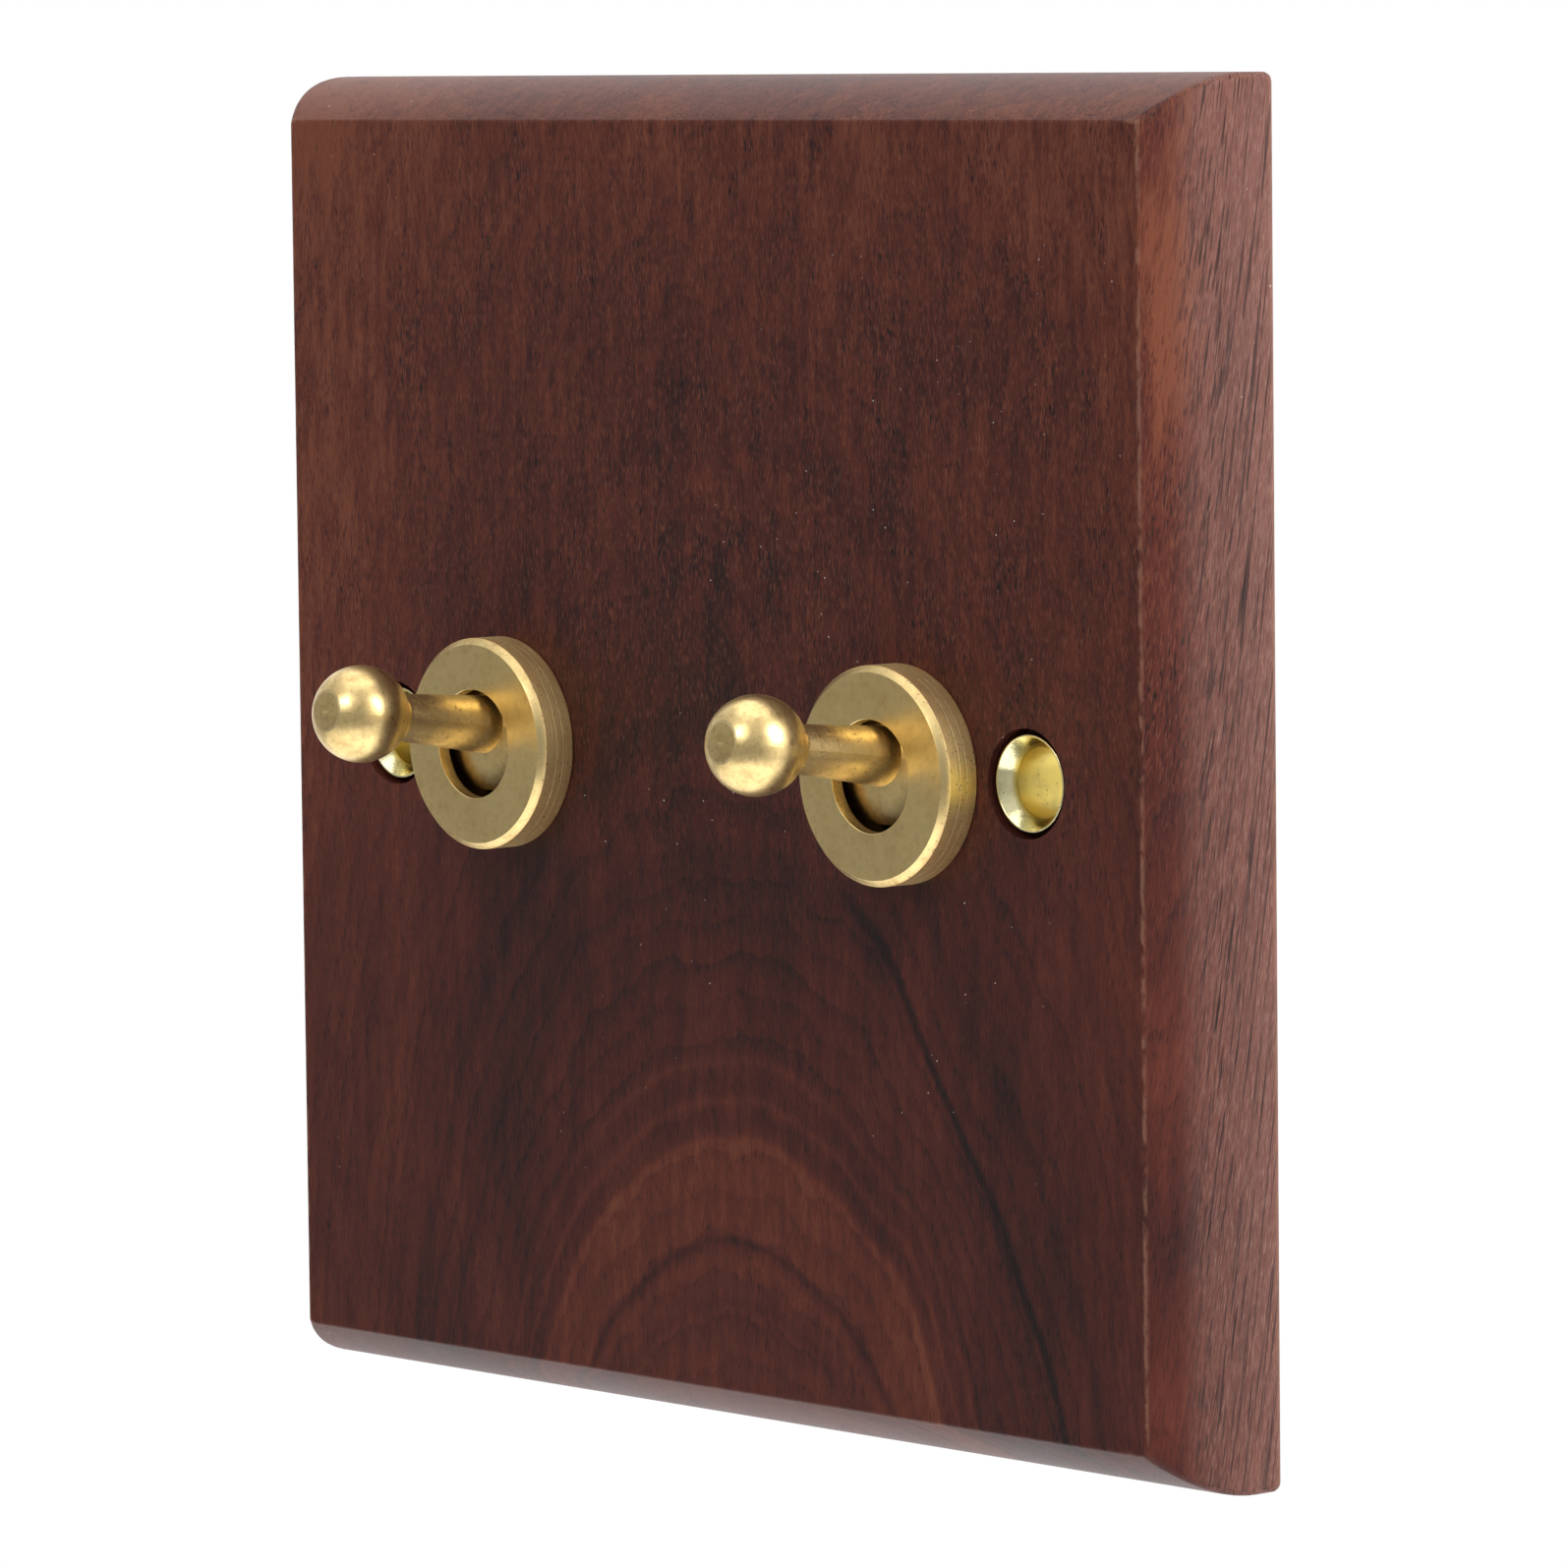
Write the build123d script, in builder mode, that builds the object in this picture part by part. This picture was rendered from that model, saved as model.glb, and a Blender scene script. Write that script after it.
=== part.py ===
from build123d import *
from math import cos, radians, sin, sqrt, tan
import os

# Two-gang toggle light switch: a bevelled wood plate with two turned brass toggles.
# Millimetres. The plate's back face lies on the wall in the plane Y = 0, the room is
# towards -Y, Z is up. A height is measured from the wall towards the room, so what
# lies behind the wall's surface has a negative height.

# Wood plate
plate_side = 86.0
plate_thickness = 9.0
bevel_radius = 9.6
bevel_angle = 45.0
mitre_radius = 0.5
arris_radius = 0.25
back_edge_radius = 0.7
pocket_rim = 7.0
pocket_depth = 4.5
pocket_corner = 6.0

# Layout
gang_spacing = 38.0
fixing_spacing = 60.3

# Screw cups in the two fixing holes
cup_bore = 2.2
cup_tube_wall = 0.4
cup_rim_radius = 3.0
cup_rim_width = 0.1
cup_below_face = 0.3
cup_flare_depth = 1.1
cup_shoulder_depth = 1.4
cup_recess_radius = 3.4

# Back plate in the pocket, with its screws and the earth connection
back_plate_inset_side = 3.0
back_plate_inset_end = 7.0
back_plate_thickness = 1.2
back_plate_corner = 3.0
fixing_clearance_radius = 3.3
plate_screw_inset_side = 5.0
plate_screw_inset_end = 4.0
plate_screw_radius = 1.1
plate_screw_head_radius = 2.1
plate_screw_head_height = 1.3
plate_screw_bite = 3.0
earth_place_down = 21.0
earth_screw_radius = 1.75
earth_screw_head_radius = 3.2
earth_screw_head_height = 2.0
earth_washer_side = 8.0
earth_washer_thickness = 0.9

# Bush, ring, washer and nut that clamp each gang to the plate
bush_bore = 4.1
bush_mouth_wall = 0.7
bush_front_chamfer = 0.2
bush_collar_width = 0.4
bush_collar_thickness = 1.0
bush_spigot_radius = 4.8
bush_swage_radius = 5.3
bush_swage_height = 0.3
ring_wall = 0.7
ring_projection = 2.7
ring_chamfer = 0.4
ring_lip_radius = 3.5
ring_lip_thickness = 0.87
ring_lip_chamfer = 0.1
washer_thickness = 0.5
washer_width = 1.9
washer_teeth = 12
washer_tooth_depth = 1.0
nut_thickness = 2.2
nut_wall = 1.9
nut_to_collar = 0.3

# Lever, pivoted on a pin inside the bush
pivot_height = 1.2
half_throw = 7.25
pivot_ball_radius = 3.0
pin_radius = 0.75
pin_end_inset = 0.15
knob_distance = 19.96
knob_radius = 3.13
knob_end_radius = 1.35
knob_end_dome = 0.12
neck_radius = 1.5
neck_fillet = 0.55
stem_root_radius = 1.88
stem_root_fillet = 0.3
skirt_dome_radius = 9.79
skirt_radius = 4.2
skirt_thickness = 0.65
skirt_edge_fillet = 0.15
skirt_side_gap = 0.12
skirt_floor_gap = 0.2
shank_radius = 2.4
tail_radius = 1.7
tail_length = 7.0
tail_chamfer = 0.2
tail_fillet = 0.4

# Plunger and spring in the lever's tail
plunger_radius = 1.15
plunger_length = 4.8
plunger_reach = 9.6
plunger_hole_end = 1.7
spring_wire_radius = 0.16
spring_turns = 5

# Seesaw contact
seesaw_tilt = 7.0
seesaw_bend = 8.0
seesaw_flat = 1.0
seesaw_thickness = 0.8
seesaw_width = 5.6
seesaw_waist = 3.8
seesaw_waist_length = 2.6
seesaw_lift = 0.15
plunger_to_seesaw = 0.1

# Contacts and terminals
contact_along_arm = 8.8
contact_radius = 1.4
contact_shank_radius = 0.8
contact_height = 0.7
contact_gap_closed = 0.1
strip_thickness = 0.8
strip_bend = 0.3
terminal_width = 5.6
terminal_pad_inward = 2.6
terminal_pad_outward = 2.2
common_thickness = 1.0
common_tab_end = 5.8
fulcrum_ear_height = 1.5
fulcrum_ear_gap = 0.1
terminal_screw_radius = 1.45
terminal_screw_head_radius = 2.5
terminal_screw_head_height = 1.8
terminal_screw_length = 3.6
screw_slot_width = 0.7
screw_slot_share = 0.5
screw_crown_share = 0.35

# Moulded base and folded frame
base_width = 13.0
base_wall_side = 2.5
base_wall_end = 3.0
cavity_end_gap = 0.2
base_floor = 4.0
base_corner = 0.8
base_rib_height = 2.6
base_rib_width = 0.8
frame_thickness = 1.0
frame_bend = 0.5
frame_leg_width = 8.0
frame_leg_length = 11.0
frame_tab_length = 0.9

# Clearances
running_gap = 0.05
loose_gap = 0.1
hole_gap = 0.3

os.makedirs("parts", exist_ok=True)

# The pocket follows the plate's outline, the back plate the pocket, its screws the back plate
pocket_side = plate_side - 2 * pocket_rim
back_plate_width = pocket_side - 2 * back_plate_inset_side
back_plate_height = pocket_side - 2 * back_plate_inset_end
plate_screw_across = back_plate_width - 2 * plate_screw_inset_side
plate_screw_up = back_plate_height - 2 * plate_screw_inset_end

# The lever's domed skirt swings in the bush's mouth, and the ring, washer and nut fit the bush
skirt_edge = sqrt(skirt_dome_radius**2 - skirt_radius**2)
skirt_back = skirt_edge - skirt_thickness
throw_sine = sin(radians(half_throw))
throw_cosine = cos(radians(half_throw))
bush_mouth_radius = skirt_edge * throw_sine + skirt_radius * throw_cosine + skirt_side_gap
bush_mouth_floor = (
    pivot_height + skirt_back * throw_cosine - skirt_radius * throw_sine - skirt_floor_gap
)
bush_radius = bush_mouth_radius + bush_mouth_wall
bush_collar_radius = bush_radius + bush_collar_width
ring_radius = bush_radius + running_gap + ring_wall
washer_radius = bush_radius + washer_width
nut_across_flats = 2 * (bush_radius + nut_wall)

# Derived heights, from the room side to the back
front_of_ring = plate_thickness + ring_projection
pocket_floor = pocket_depth
back_plate_back = pocket_floor - back_plate_thickness
washer_back = back_plate_back - washer_thickness
nut_back = washer_back - nut_thickness
collar_front = nut_back - nut_to_collar
frame_front = collar_front - bush_collar_thickness
frame_back = frame_front - frame_thickness
base_front = frame_back - loose_gap
seesaw_front = pivot_height - plunger_reach - plunger_to_seesaw
fulcrum_height = seesaw_front - seesaw_thickness - seesaw_lift

# Where a moving contact's face stands from the fulcrum once its arm is pressed down
seesaw_arm_length = contact_along_arm + contact_radius
contact_out = (
    seesaw_flat
    + contact_along_arm * cos(radians(seesaw_bend))
    + contact_height * sin(radians(seesaw_bend))
)
contact_up = (
    seesaw_lift
    + contact_along_arm * sin(radians(seesaw_bend))
    - contact_height * cos(radians(seesaw_bend))
)
closed_drop = contact_up * cos(radians(seesaw_tilt)) - contact_out * sin(radians(seesaw_tilt))
fixed_contact_out = contact_out * cos(radians(seesaw_tilt)) + contact_up * sin(radians(seesaw_tilt))
fixed_contact_front = fulcrum_height + closed_drop - contact_gap_closed
cavity_floor = fixed_contact_front - contact_height - strip_thickness
base_back = cavity_floor - base_floor

# The terminals follow the contacts, and the moulded base the terminals
terminal_pad_inner = fixed_contact_out - terminal_pad_inward
terminal_pad_outer = fixed_contact_out + terminal_pad_outward
terminal_screw_out = (terminal_pad_inner + terminal_pad_outer + strip_thickness) / 2
common_screw_out = (common_tab_end + common_thickness / 2) / 2
base_length = 2 * (terminal_pad_outer + strip_thickness + cavity_end_gap + base_wall_end)

gangs = {"left": -gang_spacing / 2, "right": gang_spacing / 2}
fixings = {"left": -fixing_spacing / 2, "right": fixing_spacing / 2}


def facing(height):
    """A plane parallel to the wall at this height, its normal towards the room."""
    return Plane.XZ.offset(height)


def round_section(x):
    """Section through an axis at this x: across is a radius, up is a height."""
    return Plane(origin=(x, 0, 0), x_dir=(1, 0, 0), z_dir=(0, 0, -1))


def side_section(x):
    """Section across X at this x: across is Z, up is a height."""
    return Plane(origin=(x, 0, 0), x_dir=(0, 0, 1), z_dir=(1, 0, 0))


def wall_axis(x):
    """The line through this x that stands square to the wall."""
    return Axis((x, 0, 0), (0, -1, 0))


def turned(x, points):
    """A ring or post turned about the axis at this x from (radius, height) points."""
    with BuildPart() as piece:
        with BuildSketch(round_section(x)):
            with BuildLine():
                Polyline(*points, close=True)
            make_face()
        revolve(axis=wall_axis(x))
    return piece.part


def folded_strip(plane, points, bend, thickness, side, width):
    """A strip folded along a line of points, thickened to one side, centred on its plane."""
    with BuildPart() as piece:
        with BuildSketch(plane):
            with BuildLine():
                FilletPolyline(*points, radius=bend)
                offset(amount=thickness, side=side)
            make_face()
        extrude(amount=width / 2, both=True)
    return piece.part


def slotted_screws(seats, radius, length, head_radius, head_height):
    """Pan-head screws, one on each seat plane, whose normal points out of the head."""
    with BuildPart() as screws:
        with Locations(*seats):
            Cylinder(head_radius, head_height, align=(Align.CENTER, Align.CENTER, Align.MIN))
            Cylinder(radius, length, align=(Align.CENTER, Align.CENTER, Align.MAX))
        for seat in seats:
            crown = seat.origin + seat.z_dir * head_height
            top = screws.faces().sort_by_distance(crown)[0]
            fillet(top.edges(), head_height * screw_crown_share)
        with Locations(*[seat.offset(head_height) for seat in seats]):
            Box(
                head_radius * 2,
                screw_slot_width,
                head_height * screw_slot_share,
                align=(Align.CENTER, Align.CENTER, Align.MAX),
                mode=Mode.SUBTRACT,
            )
    return screws.part


def keep(part, name):
    """Labels a finished piece and writes it to its own file."""
    part.label = name
    export_step(part, f"parts/{name}.step")


# Wood plate: the bevel is an arc that leaves the face at 45 degrees and ends flush
# with the side. Two such slabs crossed give the mitred corners.
half_side = plate_side / 2
side_height = plate_thickness - bevel_radius * sin(radians(bevel_angle))


def bevelled_slab(plane):
    """A slab with this section, as long as the plate is wide."""
    with BuildPart() as slab:
        with BuildSketch(plane):
            with BuildLine():
                foot = Line((0, 0), (half_side, 0))
                edge = Line(foot @ 1, (half_side, side_height))
                bevel = JernArc(edge @ 1, edge % 1, bevel_radius, bevel_angle)
                Line(bevel @ 1, (0, plate_thickness))
                mirror(about=Plane.YZ)
            make_face()
        extrude(amount=half_side, both=True)
    return slab.part


level_slab = bevelled_slab(round_section(0))
upright_slab = bevelled_slab(side_section(0))
screw_places = [
    (x * plate_screw_across / 2, z * plate_screw_up / 2) for x in (-1, 1) for z in (-1, 1)
]

with BuildPart() as wood_plate:
    add(level_slab)
    add(upright_slab, mode=Mode.INTERSECT)
    # the four corners: each a short upright edge and the mitre that follows it
    fillet(
        wood_plate.edges().filter_by(lambda e: abs(abs(e.center().X) - abs(e.center().Z)) < 0.01),
        mitre_radius,
    )
    fillet(wood_plate.faces().sort_by(Axis.Y)[0].edges(), arris_radius)
    fillet(wood_plate.faces().sort_by(Axis.Y)[-1].edges(), back_edge_radius)
    with BuildSketch(facing(0)):
        RectangleRounded(pocket_side, pocket_side, pocket_corner)
    extrude(amount=pocket_depth, mode=Mode.SUBTRACT)
    with BuildSketch(facing(pocket_floor)):
        with Locations(*[(x, 0) for x in gangs.values()]):
            Circle(bush_radius + hole_gap)
    extrude(amount=plate_thickness, mode=Mode.SUBTRACT)
    with BuildSketch(facing(pocket_floor)):
        with Locations(*screw_places):
            Circle(plate_screw_radius)
    extrude(amount=plate_screw_bite + loose_gap, mode=Mode.SUBTRACT)
    with Locations(facing(plate_thickness)):
        with Locations(*[(x, 0) for x in fixings.values()]):
            CounterBoreHole(
                cup_bore + cup_tube_wall + running_gap,
                cup_recess_radius,
                cup_below_face + cup_shoulder_depth,
            )
keep(wood_plate.part, "wood_plate")

# Back plate, with room for the fixing screws to pass at each side
with BuildPart() as back_plate:
    with BuildSketch(facing(pocket_floor)):
        RectangleRounded(back_plate_width, back_plate_height, back_plate_corner)
        with Locations(*[(x, 0) for x in gangs.values()]):
            Circle(bush_radius + loose_gap, mode=Mode.SUBTRACT)
        with Locations(*[(x, 0) for x in fixings.values()]):
            Circle(fixing_clearance_radius, mode=Mode.SUBTRACT)
        with Locations(*screw_places):
            Circle(plate_screw_radius + loose_gap, mode=Mode.SUBTRACT)
        with Locations((0, -earth_place_down)):
            Circle(earth_screw_radius + running_gap, mode=Mode.SUBTRACT)
    extrude(amount=-back_plate_thickness)
keep(back_plate.part, "back_plate")

# Screws point into the room side, so their heads face the wall box
plate_screw_seats = [
    Plane(origin=(x, -back_plate_back, z), x_dir=(1, 0, 0), z_dir=(0, 1, 0)) for x, z in screw_places
]
keep(
    slotted_screws(
        plate_screw_seats,
        plate_screw_radius - running_gap,
        back_plate_thickness + plate_screw_bite,
        plate_screw_head_radius,
        plate_screw_head_height,
    ),
    "plate_screws",
)

# Earth connection: a square washer under a screw in the back plate
with BuildPart() as earth_washer:
    with BuildSketch(facing(back_plate_back)):
        with Locations((0, -earth_place_down)):
            RectangleRounded(earth_washer_side, earth_washer_side, earth_washer_thickness)
            Circle(earth_screw_radius + loose_gap, mode=Mode.SUBTRACT)
    extrude(amount=-earth_washer_thickness)
keep(earth_washer.part, "earth_washer")

earth_seat = Plane(
    origin=(0, earth_washer_thickness - back_plate_back, -earth_place_down),
    x_dir=(1, 0, 0),
    z_dir=(0, 1, 0),
)
keep(
    slotted_screws(
        [earth_seat],
        earth_screw_radius,
        earth_washer_thickness + back_plate_thickness,
        earth_screw_head_radius,
        earth_screw_head_height,
    ),
    "earth_screw",
)

# Screw cups: a turned ferrule whose shoulder rests on the recess in the wood
cup_top = plate_thickness - cup_below_face
cup_shoulder = cup_top - cup_shoulder_depth
for side, x in fixings.items():
    cup = turned(
        x,
        [
            (cup_bore, pocket_floor),
            (cup_bore, cup_top - cup_flare_depth),
            (cup_rim_radius - cup_rim_width, cup_top),
            (cup_rim_radius, cup_top),
            (cup_rim_radius, cup_shoulder),
            (cup_bore + cup_tube_wall, cup_shoulder),
            (cup_bore + cup_tube_wall, pocket_floor),
        ],
    )
    keep(cup, f"screw_cup_{side}")


def make_dress_ring(x):
    lip_back = front_of_ring - ring_lip_thickness
    thread = bush_radius + running_gap
    return turned(
        x,
        [
            (ring_lip_radius + ring_lip_chamfer, front_of_ring),
            (ring_radius - ring_chamfer, front_of_ring),
            (ring_radius, front_of_ring - ring_chamfer),
            (ring_radius, plate_thickness),
            (thread, plate_thickness),
            (thread, lip_back),
            (ring_lip_radius, lip_back),
            (ring_lip_radius, front_of_ring - ring_lip_chamfer),
        ],
    )


def make_bush(x):
    """Threaded bush, its collar in front of the frame and its end swaged behind it."""
    front = front_of_ring - ring_lip_thickness - loose_gap
    swage_back = frame_back - bush_swage_height
    with BuildPart() as bush:
        with BuildSketch(round_section(x)):
            with BuildLine():
                Polyline(
                    (bush_mouth_radius, front),
                    (bush_radius - bush_front_chamfer, front),
                    (bush_radius, front - bush_front_chamfer),
                    (bush_radius, collar_front),
                    (bush_collar_radius, collar_front),
                    (bush_collar_radius, frame_front),
                    (bush_spigot_radius, frame_front),
                    (bush_spigot_radius, frame_back),
                    (bush_swage_radius, frame_back),
                    (bush_swage_radius - bush_swage_height, swage_back),
                    (bush_bore, swage_back),
                    (bush_bore, bush_mouth_floor),
                    (bush_mouth_radius, bush_mouth_floor),
                    close=True,
                )
            make_face()
        revolve(axis=wall_axis(x))
        with BuildSketch(side_section(x)):
            with Locations((0, pivot_height)):
                Circle(pin_radius)
        extrude(amount=bush_radius, both=True, mode=Mode.SUBTRACT)
    return bush.part


def make_lock_washer(x):
    """Flat ring whose inner edge is cut into teeth."""
    inner = bush_radius + loose_gap
    with BuildPart() as washer:
        with BuildSketch(facing(back_plate_back)):
            with Locations((x, 0)):
                Circle(washer_radius)
                Circle(inner, mode=Mode.SUBTRACT)
                with PolarLocations(inner, washer_teeth):
                    Rectangle(washer_tooth_depth * 2, washer_tooth_depth, mode=Mode.SUBTRACT)
        extrude(amount=-washer_thickness)
    return washer.part


def make_back_nut(x):
    """Hexagon nut, its corners turned off on the side of the moulding."""
    corner = nut_across_flats / sqrt(3)
    turned_off = corner - nut_across_flats / 2
    with BuildPart() as nut:
        with BuildSketch(facing(nut_back)):
            with Locations((x, 0)):
                RegularPolygon(corner, 6, rotation=30)
                Circle(bush_radius + running_gap, mode=Mode.SUBTRACT)
        extrude(amount=nut_thickness)
        with BuildSketch(round_section(x)):
            with BuildLine():
                Polyline(
                    (0, washer_back),
                    (corner, washer_back),
                    (corner, nut_back + turned_off / 2),
                    (corner - turned_off, nut_back),
                    (0, nut_back),
                    close=True,
                )
            make_face()
        revolve(axis=wall_axis(x), mode=Mode.INTERSECT)
    return nut.part


def make_pivot_pin(x):
    with BuildPart() as pin:
        with BuildSketch(side_section(x)):
            with Locations((0, pivot_height)):
                Circle(pin_radius)
        extrude(amount=bush_radius - pin_end_inset, both=True)
        chamfer(pin.edges().filter_by(GeomType.CIRCLE), pin_end_inset / 2)
    return pin.part


# The levers stand with their knobs up, half the throw above the square to the wall
lever_direction = (0, -throw_cosine, throw_sine)
lever_across = (0, -throw_sine, -throw_cosine)


def lever_section(x):
    """Section through a lever's axis: across is a radius, up runs from pivot to knob."""
    return Plane(origin=(x, -pivot_height, 0), x_dir=(1, 0, 0), z_dir=lever_across)


def lever_axis(x):
    return Axis((x, -pivot_height, 0), lever_direction)


def make_lever(x):
    """One turned piece: knob, neck, stem, domed skirt, shank, pivot ball and bored tail."""
    knob_end = knob_distance + sqrt(knob_radius**2 - knob_end_radius**2)
    knob_root = knob_distance - sqrt(knob_radius**2 - neck_radius**2)
    stem_foot = sqrt(skirt_dome_radius**2 - stem_root_radius**2)
    skirt_middle = (stem_root_radius + skirt_radius) / 2
    ball_front = sqrt(pivot_ball_radius**2 - shank_radius**2)
    ball_back = -sqrt(pivot_ball_radius**2 - tail_radius**2)
    with BuildPart() as lever:
        with BuildSketch(lever_section(x)) as profile:
            with BuildLine():
                Line((0, -tail_length), (0, knob_end + knob_end_dome))
                TangentArc((0, knob_end + knob_end_dome), (knob_end_radius, knob_end), tangent=(1, 0))
                ThreePointArc(
                    (knob_end_radius, knob_end),
                    (knob_radius, knob_distance),
                    (neck_radius, knob_root),
                )
                Line((neck_radius, knob_root), (stem_root_radius, stem_foot))
                ThreePointArc(
                    (stem_root_radius, stem_foot),
                    (skirt_middle, sqrt(skirt_dome_radius**2 - skirt_middle**2)),
                    (skirt_radius, skirt_edge),
                )
                Polyline(
                    (skirt_radius, skirt_edge),
                    (skirt_radius, skirt_back),
                    (shank_radius, skirt_back),
                    (shank_radius, ball_front),
                )
                ThreePointArc(
                    (shank_radius, ball_front),
                    (pivot_ball_radius, 0),
                    (tail_radius, ball_back),
                )
                Polyline(
                    (tail_radius, ball_back),
                    (tail_radius, tail_chamfer - tail_length),
                    (tail_radius - tail_chamfer, -tail_length),
                    (0, -tail_length),
                )
            make_face()
            corners = profile.vertices()
            fillet(corners.sort_by_distance((neck_radius, knob_root))[0], neck_fillet)
            fillet(corners.sort_by_distance((stem_root_radius, stem_foot))[0], stem_root_fillet)
            fillet(corners.sort_by_distance((skirt_radius, skirt_edge))[0], skirt_edge_fillet)
            fillet(corners.sort_by_distance((skirt_radius, skirt_back))[0], skirt_edge_fillet)
            fillet(corners.sort_by_distance((tail_radius, ball_back))[0], tail_fillet)
        revolve(axis=lever_axis(x))
        with BuildSketch(side_section(x)):
            with Locations((0, pivot_height)):
                Circle(pin_radius + running_gap)
        extrude(amount=pivot_ball_radius, both=True, mode=Mode.SUBTRACT)
        with BuildSketch(lever_section(x)):
            with BuildLine():
                Polyline(
                    (0, -plunger_hole_end),
                    (plunger_radius + running_gap, -plunger_hole_end),
                    (plunger_radius + running_gap, -tail_length),
                    (0, -tail_length),
                    close=True,
                )
            make_face()
        revolve(axis=lever_axis(x), mode=Mode.SUBTRACT)
    return lever.part


def make_plunger(x):
    """Round-nosed pin that slides in the lever's tail."""
    inner_end = plunger_length - plunger_reach
    nose_centre = plunger_radius - plunger_reach
    with BuildPart() as plunger:
        with BuildSketch(lever_section(x)):
            with BuildLine():
                Line((0, -plunger_reach), (0, inner_end))
                Line((0, inner_end), (plunger_radius, inner_end))
                wall = Line((plunger_radius, inner_end), (plunger_radius, nose_centre))
                TangentArc(wall @ 1, (0, -plunger_reach), tangent=wall % 1)
            make_face()
        revolve(axis=lever_axis(x))
    return plunger.part


def make_plunger_spring(x):
    """Coil spring between the end of the tail's hole and the plunger."""
    room = plunger_reach - plunger_length - plunger_hole_end
    height = room - 2 * (spring_wire_radius + running_gap)
    start = spring_wire_radius + running_gap - (plunger_reach - plunger_length)
    foot = lever_section(x).from_local_coords((0, start, 0))
    with BuildPart() as spring:
        with BuildLine() as coil:
            Helix(
                pitch=height / spring_turns,
                height=height,
                radius=plunger_radius - spring_wire_radius - running_gap,
                center=foot,
                direction=lever_direction,
            )
        with BuildSketch(Plane(origin=coil.line @ 0, z_dir=coil.line % 0)):
            Circle(spring_wire_radius)
        sweep(path=coil.line, is_frenet=True)
    return spring.part


def make_switch_frame(x):
    """Folded steel strap over the front of the base, clinched into its two ends."""
    end = base_length / 2 + loose_gap
    foot = frame_back - frame_leg_length
    points = [
        (frame_tab_length - end, foot),
        (-end, foot),
        (-end, frame_back),
        (end, frame_back),
        (end, foot),
        (end - frame_tab_length, foot),
    ]
    strap = folded_strip(
        side_section(x), points, frame_bend, frame_thickness, Side.LEFT, base_width
    )
    with BuildPart() as frame:
        add(strap)
        with BuildSketch(facing(frame_back - frame_bend)):
            with Locations((x, 0)):
                Rectangle(base_width * 2, base_length * 2)
                Rectangle(frame_leg_width, base_length * 2, mode=Mode.SUBTRACT)
        extrude(amount=-frame_leg_length * 2, mode=Mode.SUBTRACT)
        with BuildSketch(facing(frame_back)):
            with Locations((x, 0)):
                Circle(bush_spigot_radius + running_gap)
        extrude(amount=frame_thickness, mode=Mode.SUBTRACT)
    return frame.part


def make_switch_base(x):
    """Moulding with one cavity, slots for three terminals and ribs between their tabs."""
    cavity_width = base_width - 2 * base_wall_side
    cavity_length = base_length - 2 * base_wall_end
    slot_width = terminal_width + 2 * loose_gap
    foot = frame_back - frame_leg_length
    rib_place = (common_tab_end + terminal_pad_inner) / 2
    hole_depth = terminal_screw_length - strip_thickness + loose_gap
    with BuildPart() as base:
        with BuildSketch(facing(base_front)):
            with Locations((x, 0)):
                RectangleRounded(base_width, base_length, base_corner)
        extrude(amount=base_back - base_front)
        fillet(base.faces().sort_by(Axis.Y)[0].edges(), frame_bend + loose_gap)
        with BuildSketch(facing(base_back)):
            with Locations((x, rib_place), (x, -rib_place)):
                Rectangle(base_width - 2 * base_corner, base_rib_width)
        extrude(amount=-base_rib_height)
        with BuildSketch(facing(base_front)):
            with Locations((x, 0)):
                RectangleRounded(cavity_width, cavity_length, base_corner)
        extrude(amount=cavity_floor - base_front, mode=Mode.SUBTRACT)
        with BuildSketch(facing(base_front)):
            with Locations((x, 0)):
                Circle(bush_swage_radius + hole_gap)
        extrude(amount=-(bush_swage_height + loose_gap), mode=Mode.SUBTRACT)
        # slots that the terminals' legs pass through
        with BuildSketch(facing(cavity_floor)):
            outer_slot = strip_thickness + strip_bend + loose_gap
            outer_place = terminal_pad_outer + (strip_thickness + loose_gap - strip_bend) / 2
            with Locations((x, outer_place), (x, -outer_place)):
                Rectangle(slot_width, outer_slot)
            with Locations((x, (strip_bend - loose_gap) / 2)):
                Rectangle(slot_width, common_thickness + strip_bend + loose_gap)
        extrude(amount=-base_floor, mode=Mode.SUBTRACT)
        # blind holes for the ends of the terminal screws
        with BuildSketch(facing(base_back)):
            with Locations((x, terminal_screw_out), (x, -terminal_screw_out), (x, common_screw_out)):
                Circle(terminal_screw_radius + loose_gap)
        extrude(amount=hole_depth, mode=Mode.SUBTRACT)
        # notches in the two ends that take the frame's clinched tabs
        with BuildSketch(facing(foot + frame_bend)):
            with Locations((x, base_length / 2), (x, -base_length / 2)):
                Rectangle(frame_leg_width + 2 * loose_gap, 2 * frame_tab_length)
        extrude(amount=-(frame_bend + frame_thickness + running_gap), mode=Mode.SUBTRACT)
    return base.part


def make_end_terminal(x, side):
    """Strip folded round the base's floor, with a pad inside and a screw tab behind."""
    points = [
        (side * terminal_pad_inner, cavity_floor),
        (side * terminal_pad_outer, cavity_floor),
        (side * terminal_pad_outer, base_back),
        (side * terminal_pad_inner, base_back),
    ]
    outward = Side.LEFT if side > 0 else Side.RIGHT
    strip = folded_strip(
        side_section(x), points, strip_bend, strip_thickness, outward, terminal_width
    )
    with BuildPart() as terminal:
        add(strip)
        with BuildSketch(facing(cavity_floor)):
            with Locations((x, side * fixed_contact_out)):
                Circle(contact_shank_radius)
        extrude(amount=strip_thickness, mode=Mode.SUBTRACT)
        with BuildSketch(facing(base_back)):
            with Locations((x, side * terminal_screw_out)):
                Circle(terminal_screw_radius)
        extrude(amount=-strip_thickness, mode=Mode.SUBTRACT)
    return terminal.part


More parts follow.
